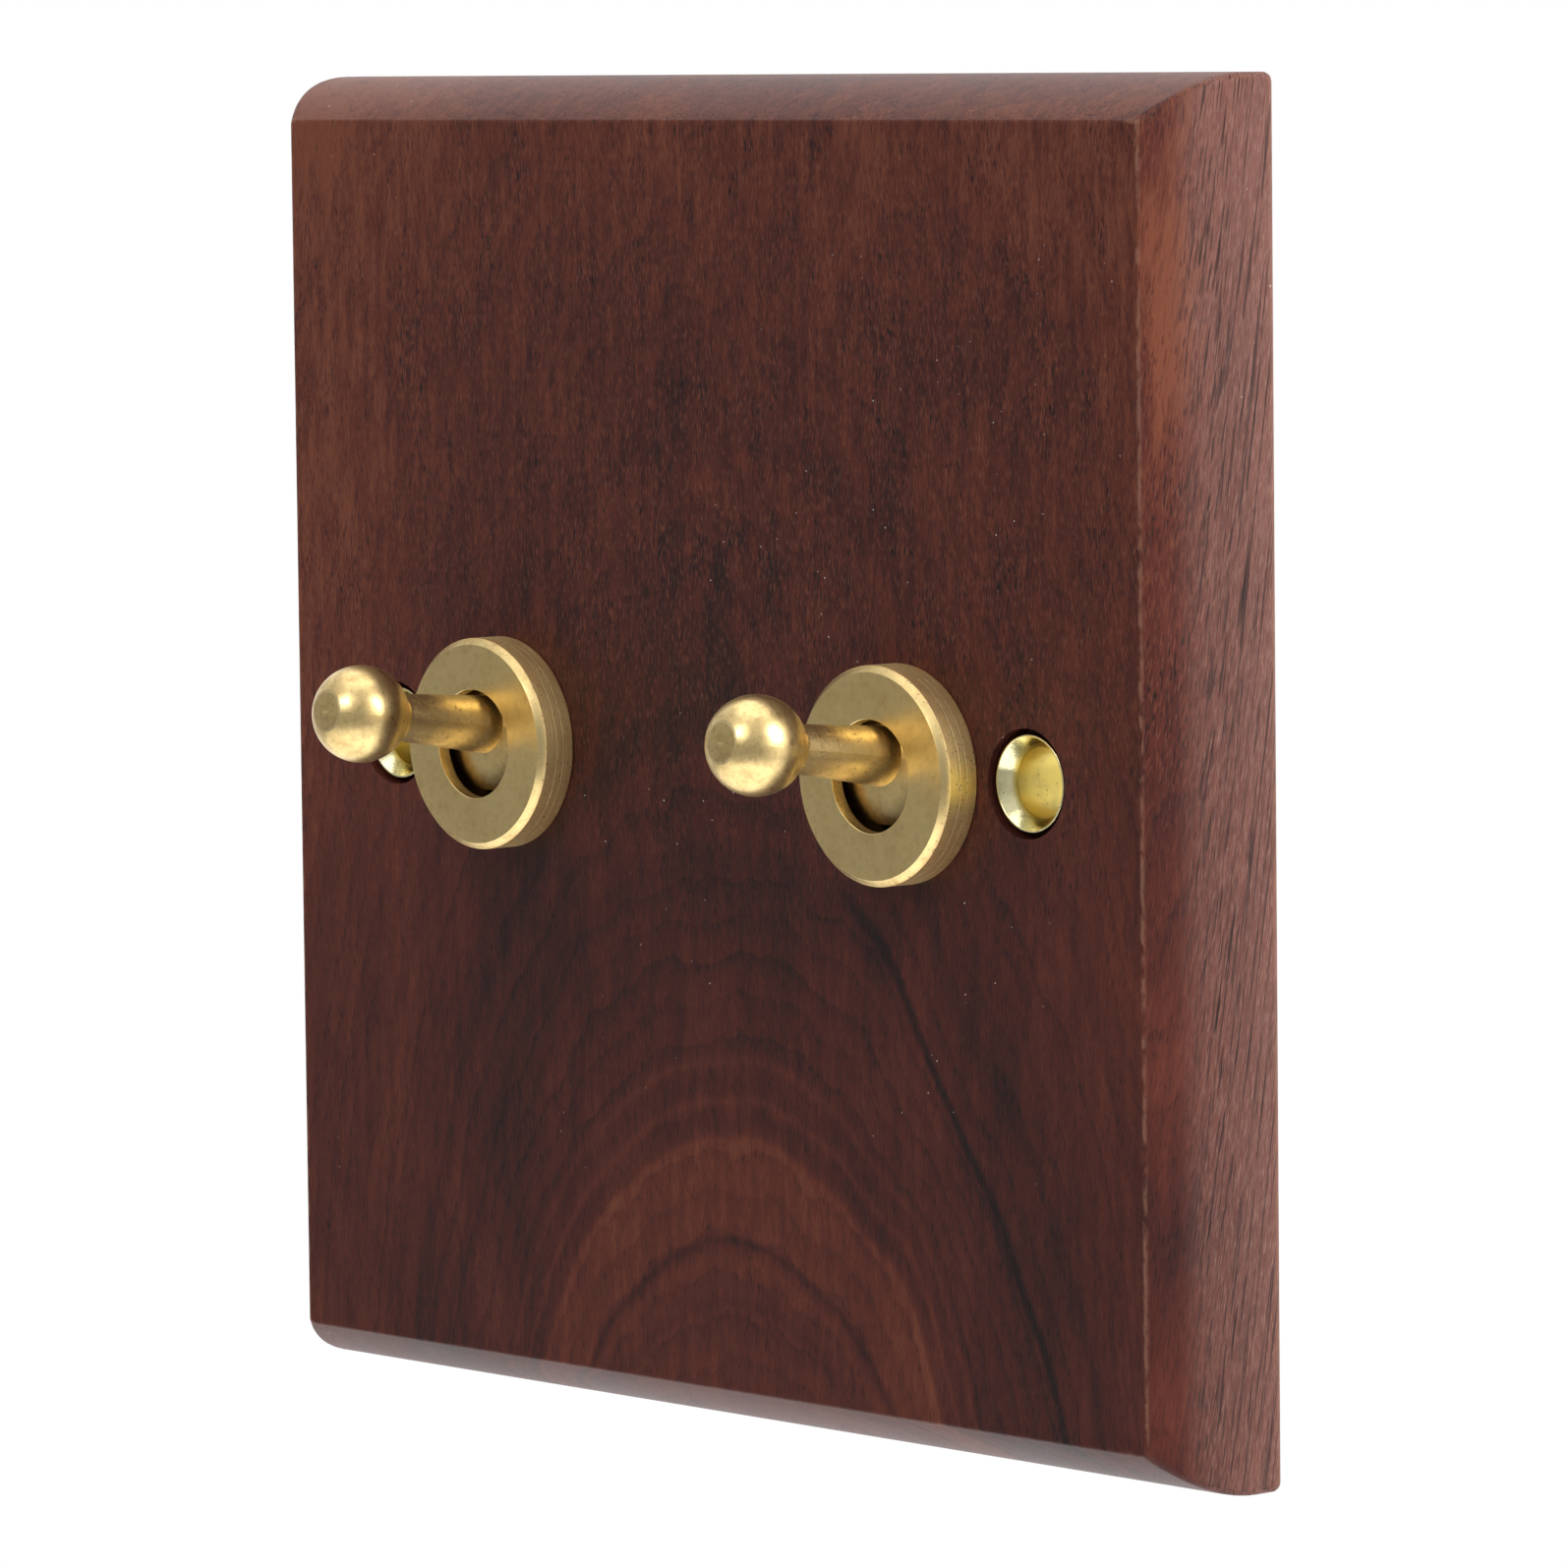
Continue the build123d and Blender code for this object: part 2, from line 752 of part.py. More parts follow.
def make_common_terminal(x):
    """Post with a rounded fulcrum between two ears, its foot folded to a screw tab."""
    half = common_thickness / 2
    notch = seesaw_waist + 2 * fulcrum_ear_gap
    points = [
        (half, fulcrum_height + fulcrum_ear_height),
        (half, base_back),
        (common_tab_end, base_back),
    ]
    strip = folded_strip(
        side_section(x), points, strip_bend, common_thickness, Side.RIGHT, terminal_width
    )
    with BuildPart() as terminal:
        add(strip)
        with BuildSketch(side_section(x)):
            with Locations((0, fulcrum_height + fulcrum_ear_height)):
                Rectangle(2 * common_thickness, 2 * fulcrum_ear_height)
        extrude(amount=notch / 2, both=True, mode=Mode.SUBTRACT)
        with BuildSketch(side_section(x)):
            with Locations((0, fulcrum_height)):
                Circle(half)
        extrude(amount=notch / 2, both=True)
        with BuildSketch(facing(base_back)):
            with Locations((x, common_screw_out)):
                Circle(terminal_screw_radius)
        extrude(amount=-common_thickness, mode=Mode.SUBTRACT)
    return terminal.part


def make_fixed_contacts(x):
    """Two rivets with flat faces, in the pads of the end terminals."""
    with BuildPart() as contacts:
        with BuildSketch(facing(cavity_floor)):
            with Locations((x, fixed_contact_out), (x, -fixed_contact_out)):
                Circle(contact_shank_radius)
        extrude(amount=strip_thickness)
        with BuildSketch(facing(cavity_floor + strip_thickness)):
            with Locations((x, fixed_contact_out), (x, -fixed_contact_out)):
                Circle(contact_radius)
        extrude(amount=contact_height)
        faces = contacts.faces().filter_by(Axis.Y).group_by(Axis.Y)[0]
        chamfer(faces.edges(), contact_height / 4)
    return contacts.part


def seesaw_section(x):
    """Section across a seesaw at rest: across runs along the blade, up to the room."""
    tilt = radians(seesaw_tilt)
    return Plane(
        origin=(x, -fulcrum_height, 0),
        x_dir=(0, -sin(tilt), cos(tilt)),
        z_dir=(1, 0, 0),
    )


def contact_seats(x):
    """The seats of the two moving contacts: normals towards the fixed contacts."""
    section = seesaw_section(x)
    bend = radians(seesaw_bend)
    out = seesaw_flat + contact_along_arm * cos(bend)
    up = seesaw_lift + contact_along_arm * sin(bend)
    seats = []
    for side in (-1, 1):
        foot = section.from_local_coords((side * out, up, 0))
        tip = section.from_local_coords((side * (out + sin(bend)), up - cos(bend), 0))
        seats.append(Plane(origin=foot, x_dir=(1, 0, 0), z_dir=tip - foot))
    return seats


def make_seesaw(x):
    """Shallow V blade that rocks on the fulcrum by a groove across its back."""
    bend = radians(seesaw_bend)
    tip_out = seesaw_flat + seesaw_arm_length * cos(bend)
    tip_up = seesaw_lift + seesaw_arm_length * sin(bend)
    thick_out = seesaw_thickness * sin(bend)
    thick_up = seesaw_thickness * cos(bend)
    crease = seesaw_flat - seesaw_thickness * tan(bend / 2)
    with BuildPart() as seesaw:
        with BuildSketch(seesaw_section(x)):
            with BuildLine():
                Polyline(
                    (0, seesaw_lift),
                    (seesaw_flat, seesaw_lift),
                    (tip_out, tip_up),
                    (tip_out - thick_out, tip_up + thick_up),
                    (crease, seesaw_lift + seesaw_thickness),
                    (0, seesaw_lift + seesaw_thickness),
                )
                mirror(about=Plane.YZ)
            make_face()
        extrude(amount=seesaw_width / 2, both=True)
        with BuildSketch(seesaw_section(x)):
            Circle(common_thickness / 2 + running_gap)
        extrude(amount=seesaw_width, both=True, mode=Mode.SUBTRACT)
        with BuildSketch(seesaw_section(x).offset(seesaw_waist / 2)):
            Rectangle(seesaw_waist_length, 4 * seesaw_thickness)
        extrude(amount=seesaw_width, mode=Mode.SUBTRACT)
        with BuildSketch(seesaw_section(x).offset(-seesaw_waist / 2)):
            Rectangle(seesaw_waist_length, 4 * seesaw_thickness)
        extrude(amount=-seesaw_width, mode=Mode.SUBTRACT)
        for seat in contact_seats(x):
            with BuildSketch(seat):
                Circle(contact_shank_radius)
            extrude(amount=-seesaw_thickness * 2, mode=Mode.SUBTRACT)
    return seesaw.part


def make_moving_contacts(x):
    """Two rivets with rounded faces, in the arms of the seesaw."""
    with BuildPart() as contacts:
        for seat in contact_seats(x):
            with BuildSketch(seat):
                Circle(contact_radius)
            extrude(amount=contact_height)
            with BuildSketch(seat):
                Circle(contact_shank_radius)
            extrude(amount=-seesaw_thickness)
            face = contacts.faces().sort_by_distance(seat.origin + seat.z_dir * contact_height)[0]
            fillet(face.edges(), contact_height * 0.6)
    return contacts.part


def make_terminal_screws(x):
    """One screw in each tab, its head towards the wall box."""
    seats = []
    for z, tab in (
        (terminal_screw_out, strip_thickness),
        (common_screw_out, common_thickness),
        (-terminal_screw_out, strip_thickness),
    ):
        seats.append(Plane(origin=(x, tab - base_back, z), x_dir=(1, 0, 0), z_dir=(0, 1, 0)))
    return slotted_screws(
        seats,
        terminal_screw_radius,
        terminal_screw_length,
        terminal_screw_head_radius,
        terminal_screw_head_height,
    )


for side, x in gangs.items():
    keep(make_dress_ring(x), f"dress_ring_{side}")
    keep(make_bush(x), f"bush_{side}")
    keep(make_lock_washer(x), f"lock_washer_{side}")
    keep(make_back_nut(x), f"back_nut_{side}")
    keep(make_pivot_pin(x), f"pivot_pin_{side}")
    keep(make_lever(x), f"lever_{side}")
    keep(make_plunger(x), f"plunger_{side}")
    keep(make_plunger_spring(x), f"plunger_spring_{side}")
    keep(make_switch_frame(x), f"switch_frame_{side}")
    keep(make_switch_base(x), f"switch_base_{side}")
    keep(make_end_terminal(x, 1), f"upper_terminal_{side}")
    keep(make_end_terminal(x, -1), f"lower_terminal_{side}")
    keep(make_common_terminal(x), f"common_terminal_{side}")
    keep(make_fixed_contacts(x), f"fixed_contacts_{side}")
    keep(make_seesaw(x), f"seesaw_{side}")
    keep(make_moving_contacts(x), f"moving_contacts_{side}")
    keep(make_terminal_screws(x), f"terminal_screws_{side}")
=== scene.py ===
import bmesh
import bpy
from math import cos, pi, radians, sin, tan
from mathutils import Matrix, Vector


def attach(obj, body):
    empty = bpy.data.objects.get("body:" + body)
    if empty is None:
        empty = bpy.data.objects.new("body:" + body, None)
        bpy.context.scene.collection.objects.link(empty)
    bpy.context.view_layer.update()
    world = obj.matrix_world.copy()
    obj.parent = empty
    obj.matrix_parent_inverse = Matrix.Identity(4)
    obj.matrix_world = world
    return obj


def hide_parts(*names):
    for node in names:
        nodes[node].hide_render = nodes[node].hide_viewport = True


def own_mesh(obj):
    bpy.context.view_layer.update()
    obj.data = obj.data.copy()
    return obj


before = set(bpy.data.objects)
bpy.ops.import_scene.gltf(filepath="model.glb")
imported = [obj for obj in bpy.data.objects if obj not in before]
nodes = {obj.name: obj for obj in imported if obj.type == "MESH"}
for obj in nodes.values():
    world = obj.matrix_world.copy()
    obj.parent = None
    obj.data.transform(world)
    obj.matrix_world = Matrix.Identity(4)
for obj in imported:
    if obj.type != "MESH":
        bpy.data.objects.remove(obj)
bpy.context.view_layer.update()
mm = 0.001
print("switch: frame loaded with", len(nodes), "nodes")


photoCamera = {
    "target": (-0.00195, 0.0, -0.00240),
    "distance": 0.563845,
    "azimuth": 48.177,
    "elevation": 4.912,
    "roll": -0.643,
    "lens": 201.78,
    "sensor": 36.0,
}


def addCamera(view):
    azimuth, elevation, roll = (radians(view[k]) for k in ("azimuth", "elevation", "roll"))
    back = Vector((sin(azimuth) * cos(elevation), -cos(azimuth) * cos(elevation), sin(elevation)))
    level = Vector((cos(azimuth), sin(azimuth), 0))
    upright = back.cross(level)
    right = level * cos(roll) + upright * sin(roll)
    up = upright * cos(roll) - level * sin(roll)
    data = bpy.data.cameras.new("photoCamera")
    data.lens = view["lens"]
    data.sensor_width = view["sensor"]
    data.clip_start = 0.01
    data.clip_end = 60
    camera = bpy.data.objects.new("photoCamera", data)
    turn = Matrix((right, up, back)).transposed().to_4x4()
    camera.matrix_world = Matrix.Translation(Vector(view["target"]) + back * view["distance"]) @ turn
    bpy.context.scene.collection.objects.link(camera)
    bpy.context.scene.camera = camera


addCamera(photoCamera)


def isSignal(value):
    return isinstance(value, Signal)


# one socket of a material's tree, so that shader maths reads as an expression
class Signal:
    def __init__(self, tree, socket=None):
        self.tree = tree
        self.socket = socket

    def node(self, kind, settings=None, sockets=None, output=0):
        made = self.tree.nodes.new(kind)
        for name, value in (settings or {}).items():
            if name == "stops":
                layStops(made.color_ramp, value)
            else:
                setattr(made, name, value)
        for key, value in (sockets or {}).items():
            if isSignal(value):
                self.tree.links.new(value.socket, made.inputs[key])
            else:
                made.inputs[key].default_value = value
        return Signal(self.tree, made.outputs[output] if made.outputs else None)

    def math(self, operation, *values):
        return self.node("ShaderNodeMath", {"operation": operation}, dict(enumerate(values)))

    def __add__(self, other):
        return self.math("ADD", self, other)

    def __sub__(self, other):
        return self.math("SUBTRACT", self, other)

    def __rsub__(self, other):
        return self.math("SUBTRACT", other, self)

    def __mul__(self, other):
        return self.math("MULTIPLY", self, other)

    def __truediv__(self, other):
        return self.math("DIVIDE", self, other)

    def __pow__(self, other):
        return self.math("POWER", self, other)

    def __neg__(self):
        return self.math("MULTIPLY", self, -1.0)

    __radd__ = __add__
    __rmul__ = __mul__

    # 0 below low, 1 above high, smooth between
    def rise(self, low, high):
        falling = low > high
        edge = self.node(
            "ShaderNodeMapRange",
            {"interpolation_type": "SMOOTHSTEP"},
            {"Value": self, "From Min": min(low, high), "From Max": max(low, high)},
        )
        return 1 - edge if falling else edge

    # 1 at the centre, fading to 0 at this distance from it
    def near(self, centre, reach):
        return self.math("ABSOLUTE", self - centre).rise(reach, 0)

    def clamped(self):
        return self.math("MAXIMUM", self.math("MINIMUM", self, 1.0), 0.0)


def layStops(ramp, stops):
    while len(ramp.elements) < len(stops):
        ramp.elements.new(1.0)
    for element, (place, colour) in zip(ramp.elements, stops):
        element.position = place
        element.color = (*colour, 1) if isinstance(colour, tuple) else (colour,) * 3 + (1,)


def rgba(colour):
    return (*colour, 1.0)


def blended(factor, first, second):
    colours = {6: first if isSignal(first) else rgba(first), 7: second if isSignal(second) else rgba(second)}
    mixer = factor if isSignal(factor) else (first if isSignal(first) else second)
    return mixer.node("ShaderNodeMix", {"data_type": "RGBA"}, {0: factor, **colours}, 2)


def noise(space, scale, detail=2.0, roughness=0.5):
    sockets = {"Vector": space, "Scale": scale, "Detail": detail, "Roughness": roughness}
    return space.node("ShaderNodeTexNoise", {}, sockets)


def specks(space, scale, size):
    cells = space.node("ShaderNodeTexVoronoi", {}, {"Vector": space, "Scale": scale})
    return cells.rise(size, size * 0.6)


def newFinish(name):
    material = bpy.data.materials.new(name)
    material.use_nodes = True
    tree = material.node_tree
    tree.nodes.clear()
    start = Signal(tree)
    place = start.node("ShaderNodeTexCoord", output="Object")
    return material, start, place


def mapped(place, rotation=(0, 0, 0), scale=(1, 1, 1)):
    return place.node("ShaderNodeMapping", {}, {"Vector": place, "Rotation": rotation, "Scale": scale})


# a place in metres to one in millimetres
def inMillimetres(place):
    return mapped(place, scale=(1 / mm, 1 / mm, 1 / mm))


def parted(vector):
    return [vector.node("ShaderNodeSeparateXYZ", {}, {"Vector": vector}, k) for k in range(3)]


def joined(x, y, z):
    some = next(v for v in (x, y, z) if isSignal(v))
    return some.node("ShaderNodeCombineXYZ", {}, {0: x, 1: y, 2: z})


def bumped(height, distance, strength=1.0):
    sockets = {"Height": height, "Distance": distance, "Strength": strength}
    return height.node("ShaderNodeBump", {}, sockets)


def closeFinish(start, sockets):
    shader = start.node("ShaderNodeBsdfPrincipled", {}, sockets)
    start.node("ShaderNodeOutputMaterial", {}, {"Surface": shader})


# sizes in millimetres; tones runs outwards from the pith, as (ring radius, lightness)
walnut = {
    "faceHeight": 9.0,
    "arris": 40.19,
    "sideX": (41.4, 42.6),
    "fibreTilt": radians(9),
    "pith": {"x": 3.0, "z": -55.0, "lean": 0.5, "depthLean": -2.5, "swayX": 8, "swayZ": 4},
    "flattening": {"share": 0.6, "slope": 0.0187, "least": 0.39},
    "ringStep": 1.35,
    "vein": {"radius": 25.0, "width": 0.55, "fromX": (7, 13)},
    "spires": {"x": 1.0, "curve": 0.16, "step": 3.4, "levels": (17.0, 17.0), "halfWidth": 16},
    "toneSpan": 72.0,
    "tones": [
        (0.0, 0.60), (9.5, 0.58), (9.8, 0.44), (10.2, 0.58), (11.4, 0.66), (11.8, 0.36),
        (12.1, 0.66), (13.4, 0.70), (15.35, 0.78), (15.5, 0.47), (16.4, 0.46), (16.6, 0.62),
        (16.9, 0.45), (17.8, 0.44), (18.0, 0.57), (18.4, 0.44), (21.0, 0.45), (23.9, 0.40),
        (24.6, 0.34), (25.0, 0.32), (25.4, 0.40), (28.0, 0.42), (29.0, 0.26), (30.2, 0.40),
        (34.0, 0.46), (37.3, 0.52), (37.9, 0.40), (40.5, 0.54), (46.0, 0.56), (58.0, 0.64),
    ],
    "palette": [
        (0.00, (0.0100, 0.0045, 0.0042)),
        (0.22, (0.0270, 0.0076, 0.0068)),
        (0.45, (0.0560, 0.0120, 0.0086)),
        (0.68, (0.0870, 0.0200, 0.0120)),
        (1.00, (0.1500, 0.0430, 0.0215)),
    ],
    # waves per millimetre across and along the fibre, detail, roughness
    "grain": {
        "sway": ((0.05, 0.05, 0.022), 2.0, 0.5),
        "ripple": ((0.30, 0.30, 0.09), 3.0, 0.55),
        "cloud": ((0.12, 0.12, 0.045), 3.0, 0.55),
        "wobble": ((1.3, 1.3, 0.8), 3.0, 0.6),
        "hair": ((7.5, 7.5, 0.50), 3.0, 0.65),
        "streaks": ((1.3, 1.3, 0.035), 3.0, 0.6),
        "patches": ((0.42, 0.42, 0.16), 2.0, 0.5),
        "dashes": ((7.2, 7.2, 1.05), 1.0, 0.4),
        "pores": ((5.0, 5.0, 0.14), 1.0, 0.4),
        "longPores": ((5.2, 5.2, 0.075), 1.5, 0.5),
        "sanding": ((12.0, 12.0, 1.1), 2.0, 0.6),
        "flecks": ((9.0, 9.0, 1.2), 1.0, 0.4),
    },
    "dustCells": (0.85, 0.85, 0.75),
    # where the face is warmer or darker, and where painted sheen and painted shadow lie: from and to, or
    # middle and reach
    "areas": {
        # the first three give painted sheen, at the upper left and along the top
        "leftSheenX": (17, 40), "leftSheenZ": (-30, 40), "topSheenZ": (24, 42),
        "tongueFrontX": (40.2, 41.2), "tongueBackX": (42.9, 41.9), "tongueZ": (27, 13),
        # the first two give a painted shadow below the left toggle
        "leftToggleShadowX": (-18.5, 4.0), "leftToggleShadowZ": (8, -14), "smudgeX": (-3, 26), "smudgeZ": (8, 20),
        "textureZ": (-12, 8), "streakZ": (0, 20), "fleckZ": (-12, 10), "dashZ": (-14, 6),
        # the first gives where the sides are painted lighter towards the top, as painted light
        "topLightZ": (10, 40), "paleBackY": (-4.5, -0.5),
        "backEdgeY": (-1.0, -0.15), "backEdge": (42.1, 42.7),
        "milledY": (-4.9, -4.3), "milledReach": (42.2, 41.6),
    },
    # how much each layer lightens (or darkens) the wood, painted sheen and painted shadow among them
    "lightness": {
        "ripple": 0.25, "cloud": 0.50, "hair": 0.42, "hairAbove": 0.34, "streaks": 0.55,
        "streaksAbove": 0.40, "leftSheen": 0.20, "topSheen": 0.15, "tongue": 0.42, "leftToggleShadow": -0.12,
        "smudge": -0.30, "rings": -0.20, "dashes": -0.42, "vein": -0.34, "spires": -0.13,
    },
    "tints": {
        "pore": (0.012, 0.0065, 0.0065),
        "fleck": (0.165, 0.056, 0.032),
        "drySideAndTopLight": (0.150, 0.060, 0.045),
        "lifted": (0.30, 0.165, 0.135),
        "sidePore": (0.022, 0.010, 0.009),
        "worn": (0.24, 0.115, 0.075),
        "bare": (0.235, 0.130, 0.082),
        "bareDark": (0.100, 0.050, 0.032),
        "barePore": (0.050, 0.024, 0.016),
        "dust": (0.62, 0.57, 0.54),
    },
    "roughness": 0.44,
    "specular": 0.20,
    "reliefDepth": 0.00003,
}


def grained(space, spec):
    stretch, detail, roughness = spec
    return noise(mapped(space, scale=stretch), 1.0, detail, roughness)


# arches about the pith: their tone, thin rings, one dark vein, and narrow arches above them
def woodFigure(w, start, x, y, z, sway, ripple):
    pith, flattening, vein, spire = (w[k] for k in ("pith", "flattening", "vein", "spires"))
    depth = y + w["faceHeight"]
    across = x - pith["x"] + sway * pith["swayX"]
    rise = (z - pith["z"]) * pith["lean"] + depth * pith["depthLean"] + sway * pith["swayZ"]
    # the arches are flatter near the pith
    nearness = start.math("SQRT", across * across * flattening["share"] + rise * rise)
    flatter = nearness * flattening["slope"] + flattening["least"]
    across = across * start.math("MINIMUM", flatter, 1.0)
    radius = start.math("SQRT", across * across + rise * rise)
    radius = radius + ripple * (0.6 + z.rise(-8, 12) * 1.6)
    stops = [(r / w["toneSpan"], tone) for r, tone in w["tones"]]
    tone = start.node("ShaderNodeValToRGB", {"stops": stops}, {"Fac": radius / w["toneSpan"]})
    # it runs down the right of the arches
    veinLine = (radius + sway * 0.8).near(vein["radius"], vein["width"]) * across.rise(*vein["fromX"])

    # each thin growth ring has its own strength, dark where it ends
    ring = radius / w["ringStep"] + ripple * 1.2
    age = start.math("FLOOR", ring)
    late = start.math("FRACT", ring)
    strength = start.node("ShaderNodeTexWhiteNoise", {"noise_dimensions": "1D"}, {"W": age})
    rings = late ** 2.5 * late.rise(1.0, 0.93) * (strength * 0.9 + 0.1)

    level = z + (x - spire["x"]) ** 2 * spire["curve"] + sway * 9 + ripple * 1.4
    step = start.math("FRACT", level / spire["step"])
    spires = step.rise(0.45, 0.95) * step.rise(1.0, 0.96) * level.near(*spire["levels"])
    spires = spires * (x - spire["x"]).near(0, spire["halfWidth"])
    return tone, {"rings": rings, "vein": veinLine, "spires": spires}


# painted sheen at the upper left and along the top, painted shadow below the left toggle, and warmer and
# lighter in a tongue on the front of the right bevel
def woodAreas(w, x, z, g):
    a = w["areas"]
    sway, ripple = g["sway"], g["ripple"]
    tongue = (z + sway * 12).near(*a["tongueZ"]) + g["cloud"].rise(0.48, 0.70) * 0.45
    smudge = (ripple * 2.0 + 0.5 + sway).rise(0.62, 0.95)
    return {
        # painted sheen: lighter towards the upper left, and towards the top
        "leftSheen": (-x + sway * 10).rise(*a["leftSheenX"]) * (0.30 + 0.70 * z.rise(*a["leftSheenZ"])),
        "topSheen": z.rise(*a["topSheenZ"]),
        "tongue": x.rise(*a["tongueFrontX"]) * x.rise(*a["tongueBackX"]) * tongue,
        # painted shadow: darker below the left toggle
        "leftToggleShadow": (x + sway * 12).near(*a["leftToggleShadowX"]) * z.rise(*a["leftToggleShadowZ"]) * (0.3 + g["streaks"]),
        "smudge": smudge * x.near(*a["smudgeX"]) * z.near(*a["smudgeZ"]),
    }


def makeWalnut(w):
    material, start, place = newFinish("walnutFinish")
    p = inMillimetres(place)
    x, y, z = parted(p)
    fibre = mapped(p, rotation=(w["fibreTilt"], 0, 0))
    level = ("sway", "ripple", "cloud", "wobble")
    g = {name: grained(p if name in level else fibre, spec) for name, spec in w["grain"].items()}
    g["sway"] = g["sway"] - 0.5
    g["ripple"] = g["ripple"] - 0.5
    a, tints, light = w["areas"], w["tints"], w["lightness"]
    fromMiddle = start.math("ABSOLUTE", x)
    reach = start.math("MAXIMUM", fromMiddle, start.math("ABSOLUTE", z))
    side = fromMiddle.rise(*w["sideX"])

    tone, layers = woodFigure(w, start, x, y, z, g["sway"], g["ripple"])
    layers.update(woodAreas(w, x, z, g))
    crowd = g["patches"].rise(0.44, 0.68) * (0.15 + 0.65 * z.rise(*a["dashZ"]))
    crowd = crowd + layers["rings"] * 0.4 + side * 0.35 + 0.26
    dashes = g["dashes"].rise(0.54, 0.68) * crowd
    pores = g["pores"].rise(0.60, 0.66) * (0.20 + 0.80 * side)
    longPores = g["longPores"].rise(0.61, 0.65) * side
    layers.update({"ripple": g["ripple"], "cloud": g["cloud"] - 0.5, "dashes": dashes})
    value = tone
    for name, layer in layers.items():
        value = value + layer * light[name]
    hairWeight = light["hair"] + light["hairAbove"] * z.rise(*a["textureZ"])
    streakWeight = light["streaks"] + light["streaksAbove"] * z.rise(*a["streakZ"])
    value = value + (g["hair"] - 0.5) * hairWeight + (g["streaks"] - 0.5) * streakWeight
    colour = start.node("ShaderNodeValToRGB", {"stops": w["palette"]}, {"Fac": value.clamped()})
    flecks = g["flecks"].rise(0.53, 0.68) * (0.10 + 0.40 * z.rise(*a["fleckZ"])) * (0.3 + g["patches"])
    colour = blended(flecks.clamped(), colour, tints["fleck"])
    colour = blended((pores * 0.85).clamped(), colour, tints["pore"])

    # the sides are sanded drier and paler, most towards the back edge, and painted lighter towards the top
    # as painted light from above
    paleBack = y.rise(*a["paleBackY"])
    drySideAndTopLight = side * (0.26 + 0.34 * g["hair"] + 0.12 * z.rise(*a["topLightZ"]) + 0.20 * paleBack)
    colour = blended(drySideAndTopLight.clamped(), colour, tints["drySideAndTopLight"])
    lifted = side * g["sanding"].rise(0.45, 0.70) * (0.15 + 0.25 * g["streaks"] + 0.22 * paleBack)
    lifted = lifted + side * g["hair"].rise(0.50, 0.70) * 0.12
    colour = blended(lifted.clamped(), colour, tints["lifted"])
    sidePores = longPores * 0.78 + pores * side * 0.45
    colour = blended(sidePores.clamped(), colour, tints["sidePore"])

    # the arris is rubbed paler, in places
    wobble = g["wobble"]
    rub = (reach + (wobble - 0.5) * 0.40).near(w["arris"], 0.22)
    rub = rub * (y + w["faceHeight"]).rise(0.9, 0.2)
    rub = rub * (0.10 + fromMiddle.rise(38, 40) * 0.9) * wobble.rise(0.36, 0.62)
    colour = blended((rub * 0.60).clamped(), colour, tints["worn"])
    # so is the back edge, and the pocket is bare milled wood
    backRub = y.rise(*a["backEdgeY"]) * reach.rise(*a["backEdge"])
    colour = blended((backRub * (0.25 + 0.5 * wobble)).clamped(), colour, tints["worn"])
    bareness = y.rise(*a["milledY"]) * reach.rise(*a["milledReach"])
    milledTone = (g["streaks"] * 0.7 + g["hair"] * 0.5).rise(0.40, 0.80)
    milled = blended(milledTone, tints["bareDark"], tints["bare"])
    milled = blended((pores * 0.8).clamped(), milled, tints["barePore"])
    colour = blended((bareness * 0.85).clamped(), colour, milled)
    # a few specks of dust
    dusty = (g["sway"] + g["ripple"] * 0.5 + 0.5).rise(0.50, 0.66)
    dust = specks(mapped(p, scale=w["dustCells"]), 1.0, 0.050) * dusty
    colour = blended(dust * 0.85, colour, tints["dust"])

    height = g["hair"] * 0.35 - dashes * 0.7 - pores - longPores * 1.2 + noise(p, 9.0, 2.0) * 0.15
    rough = w["roughness"] + pores * 0.2 + (g["hair"] - 0.5) * 0.10 + side * 0.12
    rough = rough + bareness * 0.3 + (g["cloud"] - 0.5) * 0.10
    sockets = {
        "Base Color": colour,
        "Roughness": rough,
        "Normal": bumped(height, w["reliefDepth"], 0.5),
        "Specular IOR Level": w["specular"],
    }
    closeFinish(start, sockets)
    return material


# the levers' pivots: from the middle and in front of the wall, and how far the levers lean up
pivot = {"x": 19.0, "height": 1.2, "tilt": radians(7.25)}


# distance along, radius about and angle round the axis of a turned piece
def turnedSpace(start, x, y, z, leaning):
    side = x - start.math("SIGN", x) * pivot["x"]
    if leaning:
        forward = -(y + pivot["height"])
        along = forward * cos(pivot["tilt"]) + z * sin(pivot["tilt"])
        across = z * cos(pivot["tilt"]) - forward * sin(pivot["tilt"])
    else:
        along = -y
        across = z
    radius = start.math("SQRT", side * side + across * across)
    angle = start.math("ARCTAN2", across, side)
    return along, radius, angle


